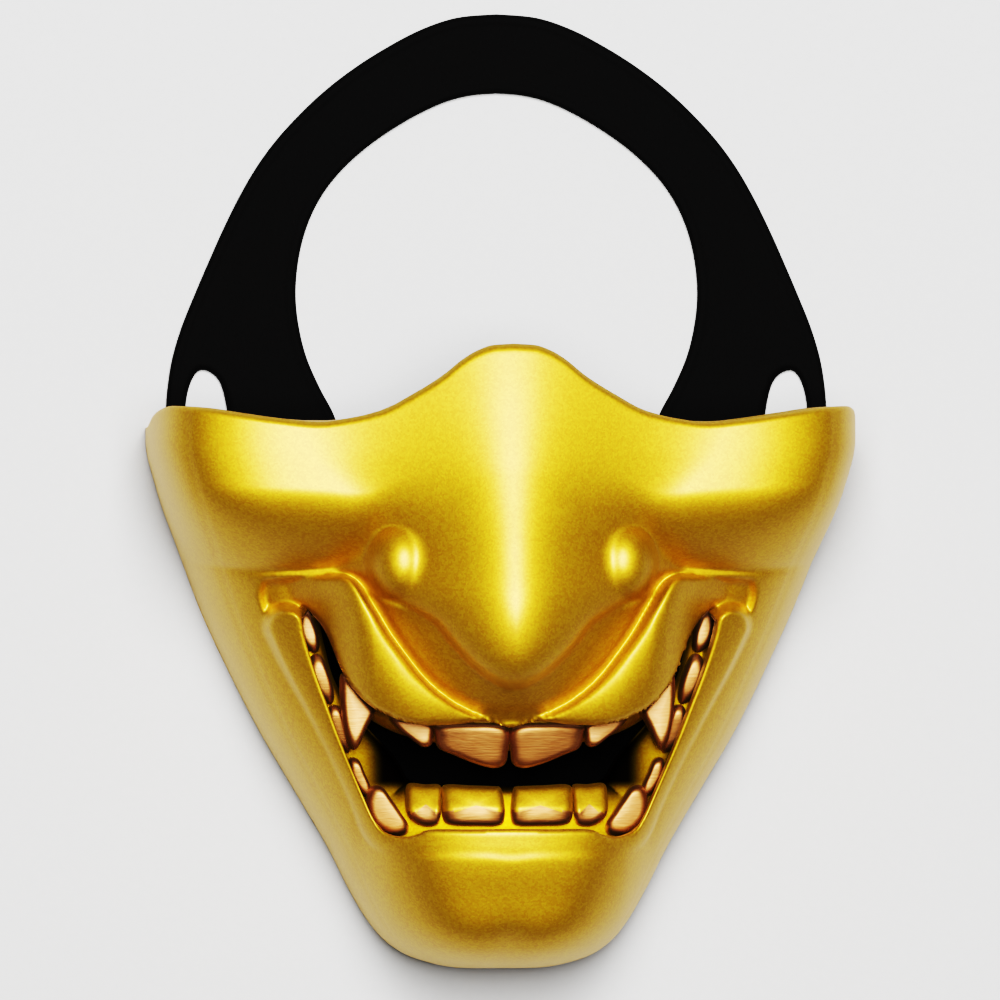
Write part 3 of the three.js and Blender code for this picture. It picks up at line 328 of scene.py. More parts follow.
# Slot for the ear, and the raised rim round it
EAR_SLOT = [
    (74.4, 149.8), (69.8, 147.6), (67.6, 140.0), (67.3, 131.0), (70.4, 126.6), (76.1, 128.1),
    (78.1, 136.0), (77.3, 144.9),
]
SLOT_RIM = 3.0

# Upright end of the strap, glued to the side wall: its lowest and highest place over the chin
TAB_REACH = (118.6, 135.6)


def smoothstep(value, low, high):
    t = np.clip((value - low) / (high - low), 0.0, 1.0)
    return t * t * (3.0 - 2.0 * t)


def quarter_round(t):
    return np.sqrt(1.0 - (1.0 - np.clip(t, 0.0, 1.0)) ** 2)


def bell(distance, width):
    return np.exp(-((distance / width) ** 2))


def blend_max(a, b, width):
    overlap = np.maximum(width - np.abs(a - b), 0.0) / width
    return np.maximum(a, b) + overlap * overlap * width / 4.0


def table_curve(rows, column=1):
    """Smooth function through a table's column that never overshoots its values."""
    at = np.array([row[0] for row in rows])
    value = np.array([row[column] for row in rows])
    span = np.diff(at)
    slope = np.diff(value) / span
    tangent = np.zeros(len(at))
    tangent[0], tangent[-1] = slope[0], slope[-1]
    same = slope[:-1] * slope[1:] > 0
    total = np.where(same, slope[:-1] + slope[1:], 1.0)
    tangent[1:-1] = np.where(same, 2.0 * slope[:-1] * slope[1:] / total, 0.0)

    def at_place(place):
        place = np.clip(place, at[0], at[-1])
        i = np.clip(np.searchsorted(at, place, side="right") - 1, 0, len(at) - 2)
        t = (place - at[i]) / span[i]
        start = (1 + 2 * t) * (1 - t) ** 2 * value[i] + t * (1 - t) ** 2 * span[i] * tangent[i]
        end = t * t * (3 - 2 * t) * value[i + 1] + t * t * (t - 1) * span[i] * tangent[i + 1]
        return start + end

    return at_place


def smooth_rows(rows, per_span, closed=False):
    """Rows taken along a smooth line through a table's rows."""
    rows = np.array(rows, float)
    count = len(rows)
    spans = count if closed else count - 1
    result = []
    for i in range(spans):
        picks = [(i + k) % count if closed else min(max(i + k, 0), count - 1) for k in (-1, 0, 1, 2)]
        a, b, c, d = rows[picks]
        for t in np.arange(per_span) / per_span:
            bend = (2 * a - 5 * b + 4 * c - d) * t * t + (3 * b - a - 3 * c + d) * t ** 3
            result.append(0.5 * (2 * b + (c - a) * t + bend))
    if not closed:
        result.append(rows[-1])
    return np.array(result)


def nearest_on(path, x, y, closed=False):
    """Distance to a line, and the line's other columns at the nearest place."""
    start = path if closed else path[:-1]
    end = np.roll(path, -1, axis=0) if closed else path[1:]
    dx, dy = (end - start)[:, 0], (end - start)[:, 1]
    length = dx * dx + dy * dy
    shape = np.shape(x)
    x, y = np.ravel(x), np.ravel(y)
    distance = np.empty(len(x))
    columns = np.empty((len(x), path.shape[1] - 2))
    for low in range(0, len(x), 8000):
        part = slice(low, low + 8000)
        px, py = x[part, None] - start[:, 0], y[part, None] - start[:, 1]
        along = np.clip((px * dx + py * dy) / length, 0.0, 1.0)
        gap = np.hypot(px - along * dx, py - along * dy)
        best = gap.argmin(axis=1)
        here = np.arange(len(best))
        distance[part] = gap[here, best]
        share = along[here, best, None]
        columns[part] = start[best, 2:] * (1 - share) + end[best, 2:] * share
    return distance.reshape(shape), [c.reshape(shape) for c in columns.T]


def depth_inside(loop, x, y):
    """Distance to a closed line, positive inside it."""
    shape = np.shape(x)
    flat_x, flat_y = np.ravel(x), np.ravel(y)
    inside = np.zeros(len(flat_x), bool)
    for a, b in zip(loop, np.roll(loop, -1, axis=0)):
        if a[1] == b[1]:
            continue
        crosses = (a[1] > flat_y) != (b[1] > flat_y)
        inside ^= crosses & (flat_x < a[0] + (flat_y - a[1]) * (b[0] - a[0]) / (b[1] - a[1]))
    distance = nearest_on(loop[:, :2], flat_x, flat_y, True)[0]
    return np.where(inside, distance, -distance).reshape(shape)


section_half, section_crest, section_flare = [table_curve(SECTIONS, c) for c in (1, 2, 3)]
section_power, section_corner = [table_curve(SECTIONS, c) for c in (4, 5)]
edge_up = table_curve(TOP_EDGE)
field_depth = table_curve(FIELD_DEPTH)
lip_rise = table_curve(LIP_RISE)
lip_section = table_curve(LIP_SECTION)
nose_rise, nose_radius, nose_fall, nose_blend = [table_curve(NOSE_SECTIONS, c) for c in (1, 2, 3, 4)]
nose_turn, nose_drop = table_curve(NOSE_TURN, 1), table_curve(NOSE_TURN, 2)
trough_top, trough_foot = table_curve(TROUGH, 1), table_curve(TROUGH, 2)

cheek_foot, cheek_reach, cheek_floor = [table_curve(CHEEK_FOOT, c) for c in (1, 2, 3)]
groove_path = smooth_rows(GROOVE_LINE, 10)
field_loop = smooth_rows(MOUTH_FIELD, 8, True)
lip_crease = smooth_rows(LIP_CREASE, 10)
lip_edge = smooth_rows(LIP_EDGE, 10)
lip_loop = np.vstack([lip_crease, lip_edge])
lower_lip_path = smooth_rows(LOWER_LIP, 10)
nose_loop = smooth_rows(NOSE_EDGE, 8, True)
mouth_top = lip_edge[(lip_edge[:, 0] >= 0.0) & (lip_edge[:, 0] < MOUTH_CORNER)]
mouth_half = np.vstack([mouth_top, smooth_rows(MOUTH_BACK, 6)])
mouth_loop = np.vstack([mouth_half, mouth_half[-2:0:-1] * (-1, 1)])


def floor_height(x, up):
    """Height over the plain shell of the face under the cheek, fading out toward the chin."""
    return cheek_floor(x) * smoothstep(up, *CHEEK_FADE)


def cheek_height(x, up):
    distance, (depth, half) = nearest_on(groove_path, x, up)
    left = 1.0 - np.clip((up - cheek_foot(x)) / cheek_reach(x), 0.0, 1.0)
    floor = floor_height(x, up)
    return floor + (CHEEK_TOP - floor) * (1.0 - left ** CHEEK_POWER) - depth * bell(distance, half)


def nose_height(x, up):
    radius = nose_radius(up)
    wedge = nose_rise(up) - nose_fall(up) * (np.hypot(x, radius) - radius)
    inside = depth_inside(nose_loop, x, up)
    drop = nose_drop(x) * (1.0 - quarter_round(inside / nose_turn(x)))
    return wedge - drop + NOSE_FALL_AWAY * np.minimum(inside, 0.0)


def wing_height(x, up):
    out = ((x - WING_MIDDLE[0]) / WING_HALF[0]) ** 2 + ((up - WING_MIDDLE[1]) / WING_HALF[1]) ** 2
    ball = WING_FOOT + WING_RISE * np.sqrt(np.maximum(1.0 - out ** WING_POWER, 0.0))
    return np.where(out < 1.0, ball, WING_FOOT + FORM_FALL_AWAY * (1.0 - out))


def lower_lip_height(x, up):
    distance, (half, rise) = nearest_on(lower_lip_path, x, up)
    t = distance / half
    strip = rise * np.sqrt(1.0 - np.minimum(t, 1.0) ** LOWER_LIP_POWER)
    return np.where(t < 1.0, strip, -FORM_FALL_AWAY * (t - 1.0))


def lip_height(x, up):
    """The upper lip between its crease by the nose and its free edge."""
    inside = depth_inside(lip_loop, x, up)
    to_crease = nearest_on(lip_crease, x, up)[0]
    to_edge = nearest_on(lip_edge, x, up)[0]
    share = to_crease / np.maximum(to_crease + to_edge, 1e-6)
    foot = trough_foot(x)
    height = foot + (lip_rise(x) - foot) * lip_section(share)
    return np.where(inside > 0.0, height, foot - 1.0 + inside)


def field_sunk(x, up, spread=0.0):
    """Depth of the mouth field, whose outline is made wider by a spread."""
    inside = depth_inside(field_loop, x, up) + spread
    return field_depth(up) * smoothstep(inside, *FIELD_STEP)


def carving(x, up):
    """All relief over the plain shell, at a distance from the middle of the face."""
    height = blend_max(cheek_height(x, up), nose_height(x, up), nose_blend(up))
    to_nose = smoothstep(-x, -28.0, -19.0)
    height = blend_max(height, wing_height(x, up), WING_JOIN + WING_JOIN_ADDED * to_nose)
    below = -depth_inside(nose_loop, x, up)
    to_lip = nearest_on(lip_crease, x, up)[0] * (depth_inside(lip_loop, x, up) < 0.0)
    share = below / np.maximum(below + to_lip, 1e-6)
    trough = trough_top(x) + (trough_foot(x) - trough_top(x)) * np.clip(share, 0.0, 1.0)
    height += (trough - height) * smoothstep(below, -0.4, 0.4) * smoothstep(-x, -39.0, -33.0)
    height = height - field_sunk(x, up)
    height = blend_max(height, lower_lip_height(x, up), LOWER_LIP_JOIN)
    height = blend_max(height, lip_height(x, up), UPPER_LIP_JOIN)
    chin = bell(x - CHIN_BUMP[0], CHIN_BUMP_SIZE[0]) * bell(up - CHIN_BUMP[1], CHIN_BUMP_SIZE[1])
    cleft = bell(x, CLEFT_SIZE) * smoothstep(-up, -14.0, -4.0)
    return height + CHIN_BUMP_RISE * chin - CLEFT_DEPTH * cleft


def plain_height(share, up, inset):
    """The shell without relief at a share of its half width, inside the outer face by an inset."""
    raised = (up - inset) * HEIGHT / (HEIGHT - inset)
    crest = section_crest(raised) * (1.0 - section_flare(raised) * share ** section_power(raised))
    return crest * np.sqrt(np.maximum(1.0 - share ** section_corner(raised), 0.0)) - inset


def column_shares(plain, wall, corner=11.0, turn=0.9):
    """Shares of the half width for a grid's columns, closer round the turn into the side."""
    flat = np.linspace(0.0, turn, plain + 1)
    left = math.sqrt(1.0 - turn ** corner) * (1.0 - np.arange(1, wall + 1) / wall)
    right = np.concatenate([flat, (1.0 - left * left) ** (1.0 / corner)])
    return np.concatenate([-right[:0:-1], right])


def shell_rows(count):
    """Heights for a grid's rows from the top down, closer together round the chin."""
    down = np.linspace(0.0, 1.0, count + 1)
    chin_part = 0.05 * (1.0 - (down - 0.94) / 0.06) ** 2
    return np.where(down < 0.94, 1.0 + (0.05 - 1.0) * down / 0.94, chin_part) * HEIGHT


def shell_plan(shares, rows, inset):
    """Places of a grid's points on the face, its first row along the top edge."""
    share, row = np.meshgrid(np.abs(shares), rows)
    lift = (edge_up(share) - 1.0) * smoothstep(row / HEIGHT, 0.55, 1.0)
    up = row + lift * HEIGHT
    up = np.where(up < inset, inset, up)
    return np.sign(shares) * share * (section_half(up) - inset), up


def mouth_depth(x, up):
    return depth_inside(mouth_loop, x, up)


def outer_height(x, up):
    x = np.abs(x)
    plain = plain_height(np.minimum(x / section_half(up), 1.0), up, 0.0)
    height = plain + carving(x, up) * smoothstep(plain, 0.0, 6.0)
    top = edge_up(x / section_half(up)) * HEIGHT - up
    height -= EDGE_ROUND * (1.0 - quarter_round(top / EDGE_ROUND)) * smoothstep(plain, 4.0, 14.0)
    mouth = -mouth_depth(x, up)
    return height - LIP_ROUND * (1.0 - quarter_round(mouth / LIP_ROUND))


def inner_height(x, up):
    x = np.abs(x)
    share = np.minimum(x / (section_half(up) - WALL), 1.0)
    rise = np.maximum(nose_height(x, up) - NOSE_HOLLOW, 0.0) * smoothstep(up, *HOLLOW_BEGINS)
    sunk = field_sunk(x, up, FIELD_SPREAD) - np.minimum(floor_height(x, up), 0.0)
    return np.maximum(plain_height(share, up, WALL) + rise - sunk, 0.0)


def smoothed(z):
    """Heights averaged with their neighbours, so that no steep wall shows the grid's steps."""
    padded = np.pad(z, 1, mode="edge")
    across = (padded[:, :-2] + 2.0 * padded[:, 1:-1] + padded[:, 2:]) / 4.0
    return (across[:-2] + 2.0 * across[1:-1] + across[2:]) / 4.0


def quad_grid(rows, columns, first=0):
    """Faces of a grid of points, counted row by row from a first number."""
    corner = first + np.arange(rows - 1)[:, None] * columns + np.arange(columns - 1)
    corner = corner.ravel()
    return np.stack([corner, corner + columns, corner + columns + 1, corner + 1], axis=1)


def cut_opening(points, quads, depth, height, snap):
    """Cuts a grid of points along the line where depth is nought, and keeps what lies outside.

    Points nearer to the line than snap move onto it, and other triangles that cross it are clipped.
    """
    points = points.copy()
    inside = depth(points[:, 0], points[:, 1])
    near = np.abs(inside) < snap
    step = 0.05
    x, y = points[near, 0], points[near, 1]
    slope = np.stack([
        depth(x + step, y) - depth(x - step, y), depth(x, y + step) - depth(x, y - step)], axis=1)
    slope /= np.maximum(np.linalg.norm(slope, axis=1), 1e-9)[:, None]
    points[near, :2] -= slope * inside[near, None]
    points[near, 2] = height(points[near, 0], points[near, 1])
    inside[near] = 0.0

    triangles = np.vstack([quads[:, [0, 1, 2]], quads[:, [0, 2, 3]]])
    state = inside[triangles]
    kept = [tuple(t) for t in triangles[(state <= 0.0).all(axis=1) & (state < 0.0).any(axis=1)]]
    crossing = triangles[(state > 0.0).any(axis=1) & (state < 0.0).any(axis=1)]
    added, number = [], {}
    for triangle in crossing:
        ring = []
        for a, b in zip(triangle, np.roll(triangle, -1)):
            if inside[a] <= 0.0:
                ring.append(int(a))
            if inside[a] * inside[b] < 0.0:
                key = (min(a, b), max(a, b))
                if key not in number:
                    share = inside[key[0]] / (inside[key[0]] - inside[key[1]])
                    added.append(points[key[0]] * (1 - share) + points[key[1]] * share)
                    number[key] = len(points) + len(added) - 1
                ring.append(number[key])
        kept += [(ring[0], ring[i], ring[i + 1]) for i in range(1, len(ring) - 1)]
    if added:
        added = np.array(added)
        added[:, 2] = height(added[:, 0], added[:, 1])
        points = np.vstack([points, added])
    return points, kept


def border_edges(faces):
    """Edges that only one face has, in that face's direction."""
    found = {}
    for face in faces:
        for a, b in zip(face, tuple(face[1:]) + (face[0],)):
            if (b, a) in found:
                del found[(b, a)]
            else:
                found[(a, b)] = True
    return list(found)


def along_loop(loop, x, y):
    """Share of a closed line's length at the place nearest to each point."""
    reach = np.linalg.norm(np.roll(loop, -1, axis=0) - loop, axis=1)
    start = np.concatenate([[0.0], np.cumsum(reach)])[:-1]
    path = np.column_stack([loop, start, start + reach])
    steps = np.roll(path, -1, axis=0)
    steps[:, 2] = path[:, 3]
    share = np.empty(len(x))
    for i, (px, py) in enumerate(zip(x, y)):
        side = steps[:, :2] - path[:, :2]
        t = np.clip(((px - path[:, 0]) * side[:, 0] + (py - path[:, 1]) * side[:, 1]) / reach ** 2, 0.0, 1.0)
        gap = np.hypot(px - path[:, 0] - t * side[:, 0], py - path[:, 1] - t * side[:, 1])
        best = gap.argmin()
        share[i] = start[best] + t[best] * reach[best]
    return share / reach.sum()


def zip_lines(first, along_first, second, along_second):
    """Triangles between two lines of point numbers that run the same way."""
    faces, i, j = [], 0, 0
    while i < len(first) - 1 or j < len(second) - 1:
        behind = j == len(second) - 1
        if behind or (i < len(first) - 1 and along_first[i + 1] <= along_second[j + 1]):
            faces.append((first[i], first[i + 1], second[j]))
            i += 1
        else:
            faces.append((first[i], second[j + 1], second[j]))
            j += 1
    return faces


def opening_line(points, faces, loop):
    """Points round an opening in the order of the opening's outline, closed, with their shares."""
    near = {a for edge in border_edges(faces) for a in edge}
    near = np.array(sorted(near))
    near = near[np.abs(depth_inside(loop, points[near, 0], points[near, 1])) < 0.02]
    share = along_loop(loop, points[near, 0], points[near, 1])
    order = share.argsort()
    near, share = near[order], share[order]
    return np.append(near, near[0]), np.append(share, 1.0 + share[0])


def make_object(name, points, faces, materials, slots=None, smooth=True):
    """A piece from points in millimetres."""
    mesh = bpy.data.meshes.new(name)
    mesh.from_pydata((np.asarray(points) * MM).tolist(), [], [tuple(int(i) for i in f) for f in faces])
    for material in materials:
        mesh.materials.append(material)
    if slots is not None:
        mesh.polygons.foreach_set("material_index", np.asarray(slots, np.int32))
    mesh.polygons.foreach_set("use_smooth", np.full(len(mesh.polygons), smooth))
    mesh.update()
    piece = bpy.data.objects.new(name, mesh)
    bpy.context.scene.collection.objects.link(piece)
    return piece


def face_out(piece):
    edit = bmesh.new()
    edit.from_mesh(piece.data)
    bmesh.ops.recalc_face_normals(edit, faces=edit.faces)
    edit.to_mesh(piece.data)
    edit.free()


def make_shell(gold, inner_paint):
    """Outer and inner face, cut open at the mouth and joined round it and round the outside."""
    x, up = shell_plan(column_shares(*OUTER_GRID[:2]), shell_rows(OUTER_GRID[2]), 0.0)
    z = outer_height(x, up)
    z[1:-1, 1:-1] = smoothed(z)[1:-1, 1:-1]
    rows, columns = x.shape
    outer = np.stack([x.ravel(), up.ravel(), z.ravel()], axis=1)
    outer, outer_faces = cut_opening(outer, quad_grid(rows, columns), mouth_depth, outer_height, 0.2)

    ix, iup = shell_plan(column_shares(*INNER_GRID[:2]), shell_rows(INNER_GRID[2]), WALL)
    inner_rows, inner_columns = ix.shape
    inner = np.stack([ix.ravel(), iup.ravel(), inner_height(ix, iup).ravel()], axis=1)
    inner_quads = quad_grid(inner_rows, inner_columns)
    inner, inner_faces = cut_opening(inner, inner_quads, mouth_depth, inner_height, 0.8)

    offset = len(outer)
    hole, hole_share = opening_line(outer, outer_faces, mouth_loop)
    inner_hole, inner_share = opening_line(inner, inner_faces, mouth_loop)
    rim = zip_lines(hole, hole_share, offset + inner_hole, inner_share)
    points = np.vstack([outer, inner])
    turned = [tuple(offset + i for i in face[::-1]) for face in inner_faces]
    grid = np.arange(rows * columns).reshape(rows, columns)
    inner_grid = offset + np.arange(inner_rows * inner_columns).reshape(inner_rows, inner_columns)
    sides = []
    for line, inner_line in ((grid[0, ::-1], inner_grid[0, ::-1]), (grid[:, 0], inner_grid[:, 0]),
                             (grid[-1], inner_grid[-1]), (grid[::-1, -1], inner_grid[::-1, -1])):
        lengths = [np.concatenate([[0.0], np.cumsum(np.linalg.norm(np.diff(points[part], axis=0), axis=1))])
                   for part in (line, inner_line)]
        sides += zip_lines(line, lengths[0] / lengths[0][-1], inner_line, lengths[1] / lengths[1][-1])
    points[:, 1] += CHIN
    faces = outer_faces + sides + rim + turned
    slots = [0] * (len(outer_faces) + len(sides) + len(rim)) + [1] * len(turned)
    smooth = [True] * len(outer_faces) + [False] * (len(sides) + len(rim)) + [True] * len(turned)
    piece = make_object("gold_shell", points, faces, [gold, inner_paint], slots, smooth)
    face_out(piece)
    return piece


def set_back(up):
    """How far the lower teeth stand behind the upper ones."""
    return JAW_SETBACK * smoothstep(-up, -0.5 * HEIGHT, -0.28 * HEIGHT)


def tooth_seat(x, back):
    """Height of the arch that the teeth stand on."""
    return SHELL_DEPTH - TEETH_SET_IN - ARCH_SWEEP * (x / HALF_WIDTH) ** 2 - back - TOOTH_THICKNESS


def sheet_body(front, back):
    """Points and faces of a closed body between two sheets of points with equal rows."""
    rows, columns = front.shape[:2]
    points = np.concatenate([front.reshape(-1, 3), back.reshape(-1, 3)])
    grid = np.arange(rows * columns).reshape(rows, columns)
    faces = [tuple(q) for q in quad_grid(rows, columns)]
    faces += [tuple(q[::-1]) for q in quad_grid(rows, columns, rows * columns)]
    rim = np.concatenate([grid[0, ::-1], grid[1:, 0], grid[-1, 1:], grid[-2:0:-1, -1]])
    behind = rim + rows * columns
    for a, b, c, d in zip(rim, np.roll(rim, -1), np.roll(behind, -1), behind):
        faces.append((b, a, d, c))
    return points, faces


def on_face(x, up, z):
    """A sheet of points from their places on the face."""
    return np.stack([x, up + CHIN, z], axis=2)


def make_gum(name, line, is_lower, material):
    """A gum along its line, both sides of the face, with a rounded free edge."""
    half = smooth_rows(line, 6)
    mirror = half[:0:-1] * (-1, 1, 1, 1, 1)
    whole = np.vstack([mirror, half])
    along = np.gradient(whole[:, :2], axis=0)
    along /= np.linalg.norm(along, axis=1)[:, None]
    place = np.linspace(1.0, -1.0, 25)
    reach = np.where(place > 0.0, place * whole[:, 2:3], place * whole[:, 3:4])
    x = whole[:, 0:1] - along[:, 1:2] * reach
    up = whole[:, 1:2] + along[:, 0:1] * reach
    back = set_back(up) if is_lower else 0.0
    seat = tooth_seat(x, back) - CLEARANCE
    free = np.clip(place if is_lower else -place, 0.0, 1.0)
    front = seat - whole[:, 4:5] * GUM_THICKNESS * GUM_FALL * free ** GUM_FALL_POWER
    front -= GUM_ROUND * (1.0 - quarter_round((1.0 - np.abs(place)) / 0.25))
    points, faces = sheet_body(on_face(x, up, front), on_face(x, up, seat - GUM_THICKNESS))
    return make_object(name, points, faces, [material])


def make_tooth(name, side, form, copper, gold):
    """A tooth from its row of TEETH: a pillow on the arch, copper on its face and gold at its sides.

    flat: how far its face keeps level before it rounds off. turn: how much of the arch's turn its
    face takes. tilt: how much its face turns down.
    """
    outline, row, thick, flat, turn, tilt, ledge = form
    loop = smooth_rows(outline, 5, True) * (side, 1)
    middle = loop.mean(axis=0)
    heights = np.array(TOOTH_RINGS)
    shares = (1.0 - heights ** 2) ** (1.0 / flat)
    rings = [middle + share * (loop - middle) for share in shares] + [middle[None]]
    place = np.vstack([loop] + rings)
    lift = np.concatenate([np.full(len(loop), -TOOTH_ROOT)] + [
        np.full(len(ring), thick * height) for ring, height in zip(rings, list(heights) + [1.0])])
    back = set_back(place[:, 1]) if row == "lower" else 0.0
    seat = tooth_seat(middle[0] + turn * (place[:, 0] - middle[0]), back)
    z = seat + lift + tilt * (place[:, 1] - middle[1])
    over = np.maximum(place[:, 1] - ledge, 0.0) if ledge else np.zeros(len(z))
    z -= over * (over / (over + LEDGE_ONSET))
    points = np.column_stack([place[:, 0], place[:, 1] + CHIN, z])
    count, ring_count = len(loop), len(heights) + 1
    faces, slots = [tuple(range(count))[::-1]], [1]
    for ring in range(ring_count - 1):
        for i in range(count):
            j = (i + 1) % count
            a, b = ring * count + i, ring * count + j
            faces.append((a, b, b + count, a + count))
            level = place[[a, b, b + count, a + count], 1].mean()
            slots.append(1 if ring < TOOTH_SIDE_RINGS or (ledge and level > ledge) else 0)
    last = (ring_count - 1) * count
    for i in range(count):
        faces.append((last + i, last + (i + 1) % count, last + count))
        slots.append(1 if ledge and place[last + i, 1] > ledge else 0)
    piece = make_object(name, points, faces, [copper, gold], slots)
    face_out(piece)
    return piece


def make_mouth_shade_sheet(material):
    """Black sheet behind the teeth, painted shade that stands in for the dark inside the mouth."""
    reach = table_curve([(row[1], row[0]) for row in LOWER_GUM[1:]])
    level = np.linspace(*BACKING_REACH, 25)[:, None]
    x, up = np.broadcast_arrays((reach(level) + BACKING_LAP) * np.linspace(-1.0, 1.0, 31), level)
    seat = tooth_seat(x, set_back(up)) - 2 * CLEARANCE - GUM_THICKNESS
    seat = np.minimum(seat, inner_height(x, up) - BACKING_GAP)
    points, faces = sheet_body(on_face(x, up, seat), on_face(x, up, seat - BACKING_THICKNESS))
    return make_object("mouth_shade_sheet", points, faces, [material])


def make_strap(material):
    """Flat strap with rolled edges and a slot for each ear, and its ends glued inside the shell."""
    half = smooth_rows(STRAP_STATIONS, 7)
    whole = np.vstack([half[:0:-1] * (-1, 1, -1, 1), half])
    share = (1.0 - np.cos(np.linspace(0.0, math.pi, 49))) / 2
    x = whole[:, 2:3] + (whole[:, 0:1] - whole[:, 2:3]) * share
    up = whole[:, 3:4] + (whole[:, 1:2] - whole[:, 3:4]) * share
    width = np.linalg.norm(whole[:, 0:2] - whole[:, 2:4], axis=1)[:, None]
    to_edge = np.minimum(share, 1.0 - share) * width
    slot = smooth_rows(EAR_SLOT, 8, True)

    def slot_depth(px, py):
        return depth_inside(slot, np.abs(px), py)

    def height(px, py, edge):
        out = np.minimum(-slot_depth(px, py), edge)
        roll = 0.5 + 0.5 * quarter_round(out / STRAP_EDGE)
        rim = STRAP_LOW * smoothstep(-out, -SLOT_RIM, -0.6 * SLOT_RIM)
        return STRAP_THICKNESS * np.minimum(roll, 1.0) - STRAP_LOW + rim

    def wall_at(inset):
        crest = section_crest(along) * (1.0 - section_flare(along))
        part = np.sqrt(np.maximum(1.0 - ((tall + inset) / crest) ** 2, 0.0))
        return (section_half(along) - inset) * part ** (2.0 / section_corner(along))

    points = np.stack([x.ravel(), up.ravel(), height(x, up, to_edge).ravel()], axis=1)
    quads = quad_grid(*x.shape)
    points, faces = cut_opening(points, quads, slot_depth, lambda px, py: height(px, py, 0.0), 0.25)
    low = points.copy()
    low[:, 2] = np.clip(STRAP_THICKNESS - points[:, 2] - STRAP_LOW, 0.0, None)
    count = len(points)
    faces += [tuple(i + count for i in face[::-1]) for face in faces]
    faces += [(b, a, a + count, b + count) for a, b in border_edges(faces[: len(faces) // 2])]
    points = np.vstack([points, low])
    tall, along = np.meshgrid(np.linspace(0.3, TAB_HEIGHT, 9), np.linspace(*TAB_REACH, 9))
    for side in (-1, 1):
        outer = np.stack([side * wall_at(WALL + CLEARANCE), along, tall], axis=2)
        inner = np.stack([side * wall_at(WALL + CLEARANCE + STRAP_THICKNESS), along, tall], axis=2)
        tab, tab_faces = sheet_body(outer, inner) if side > 0 else sheet_body(inner, outer)
        faces += [tuple(i + len(points) for i in face) for face in tab_faces]
        points = np.vstack([points, tab])
    points[:, 1] += CHIN
    piece = make_object("head_strap_band", points, faces, [material])
    face_out(piece)
    return piece


def srgb(code):
    """Linear colour of a hex code."""
    parts = [int(code[i:i + 2], 16) / 255.0 for i in (1, 3, 5)]
    return tuple(c / 12.92 if c <= 0.04045 else ((c + 0.055) / 1.055) ** 2.4 for c in parts) + (1.0,)


def add_node(tree, kind, settings=None, inputs=None):
    """A node with its settings, and with its inputs as values or as links from other sockets."""
    node = tree.nodes.new(kind)
    for key, value in (settings or {}).items():
        setattr(node, key, value)
    for key, value in (inputs or {}).items():
        if isinstance(value, bpy.types.NodeSocket):
            tree.links.new(value, node.inputs[key])
        else:
            node.inputs[key].default_value = value
    return node


def new_material(name):
    material = bpy.data.materials.new(name)
    material.use_nodes = True
    tree = material.node_tree
    shader = tree.nodes["Principled BSDF"]
    place = add_node(tree, "ShaderNodeTexCoord").outputs["Object"]
    return material, tree, shader, place


def mapped(tree, place, sizes):
    """Texture place in units of the given sizes along x, y and z, in millimetres."""
    scale = tuple(1.0 / (size * MM) for size in sizes)
    return add_node(tree, "ShaderNodeMapping", None, {"Vector": place, "Scale": scale}).outputs["Vector"]


def fade(tree, value, start, end):
    """Smooth rise from 0 to 1 while a value goes from start to end."""
    settings = {"interpolation_type": "SMOOTHSTEP"}
    return add_node(tree, "ShaderNodeMapRange", settings, {
        "Value": value, "From Min": start, "From Max": end}).outputs["Result"]


def two_tones(tree, share, first, second):
    """Colour between two hex codes."""
    mix = add_node(tree, "ShaderNodeMix", {"data_type": "RGBA"}, {"Factor": share})
    mix.inputs["A"].default_value = srgb(first)
    mix.inputs["B"].default_value = srgb(second)
    return mix.outputs["Result"]


def finish_surface(tree, shader, colour, height, strength, depth, values):
    """Gives a shader its colour, a bump of a depth in millimetres, and its other values."""
    tree.links.new(colour, shader.inputs["Base Color"])
    bump = add_node(tree, "ShaderNodeBump", None, {
        "Height": height, "Strength": strength, "Distance": depth * MM})
    tree.links.new(bump.outputs["Normal"], shader.inputs["Normal"])
    for key, value in values.items():
        shader.inputs[key].default_value = value


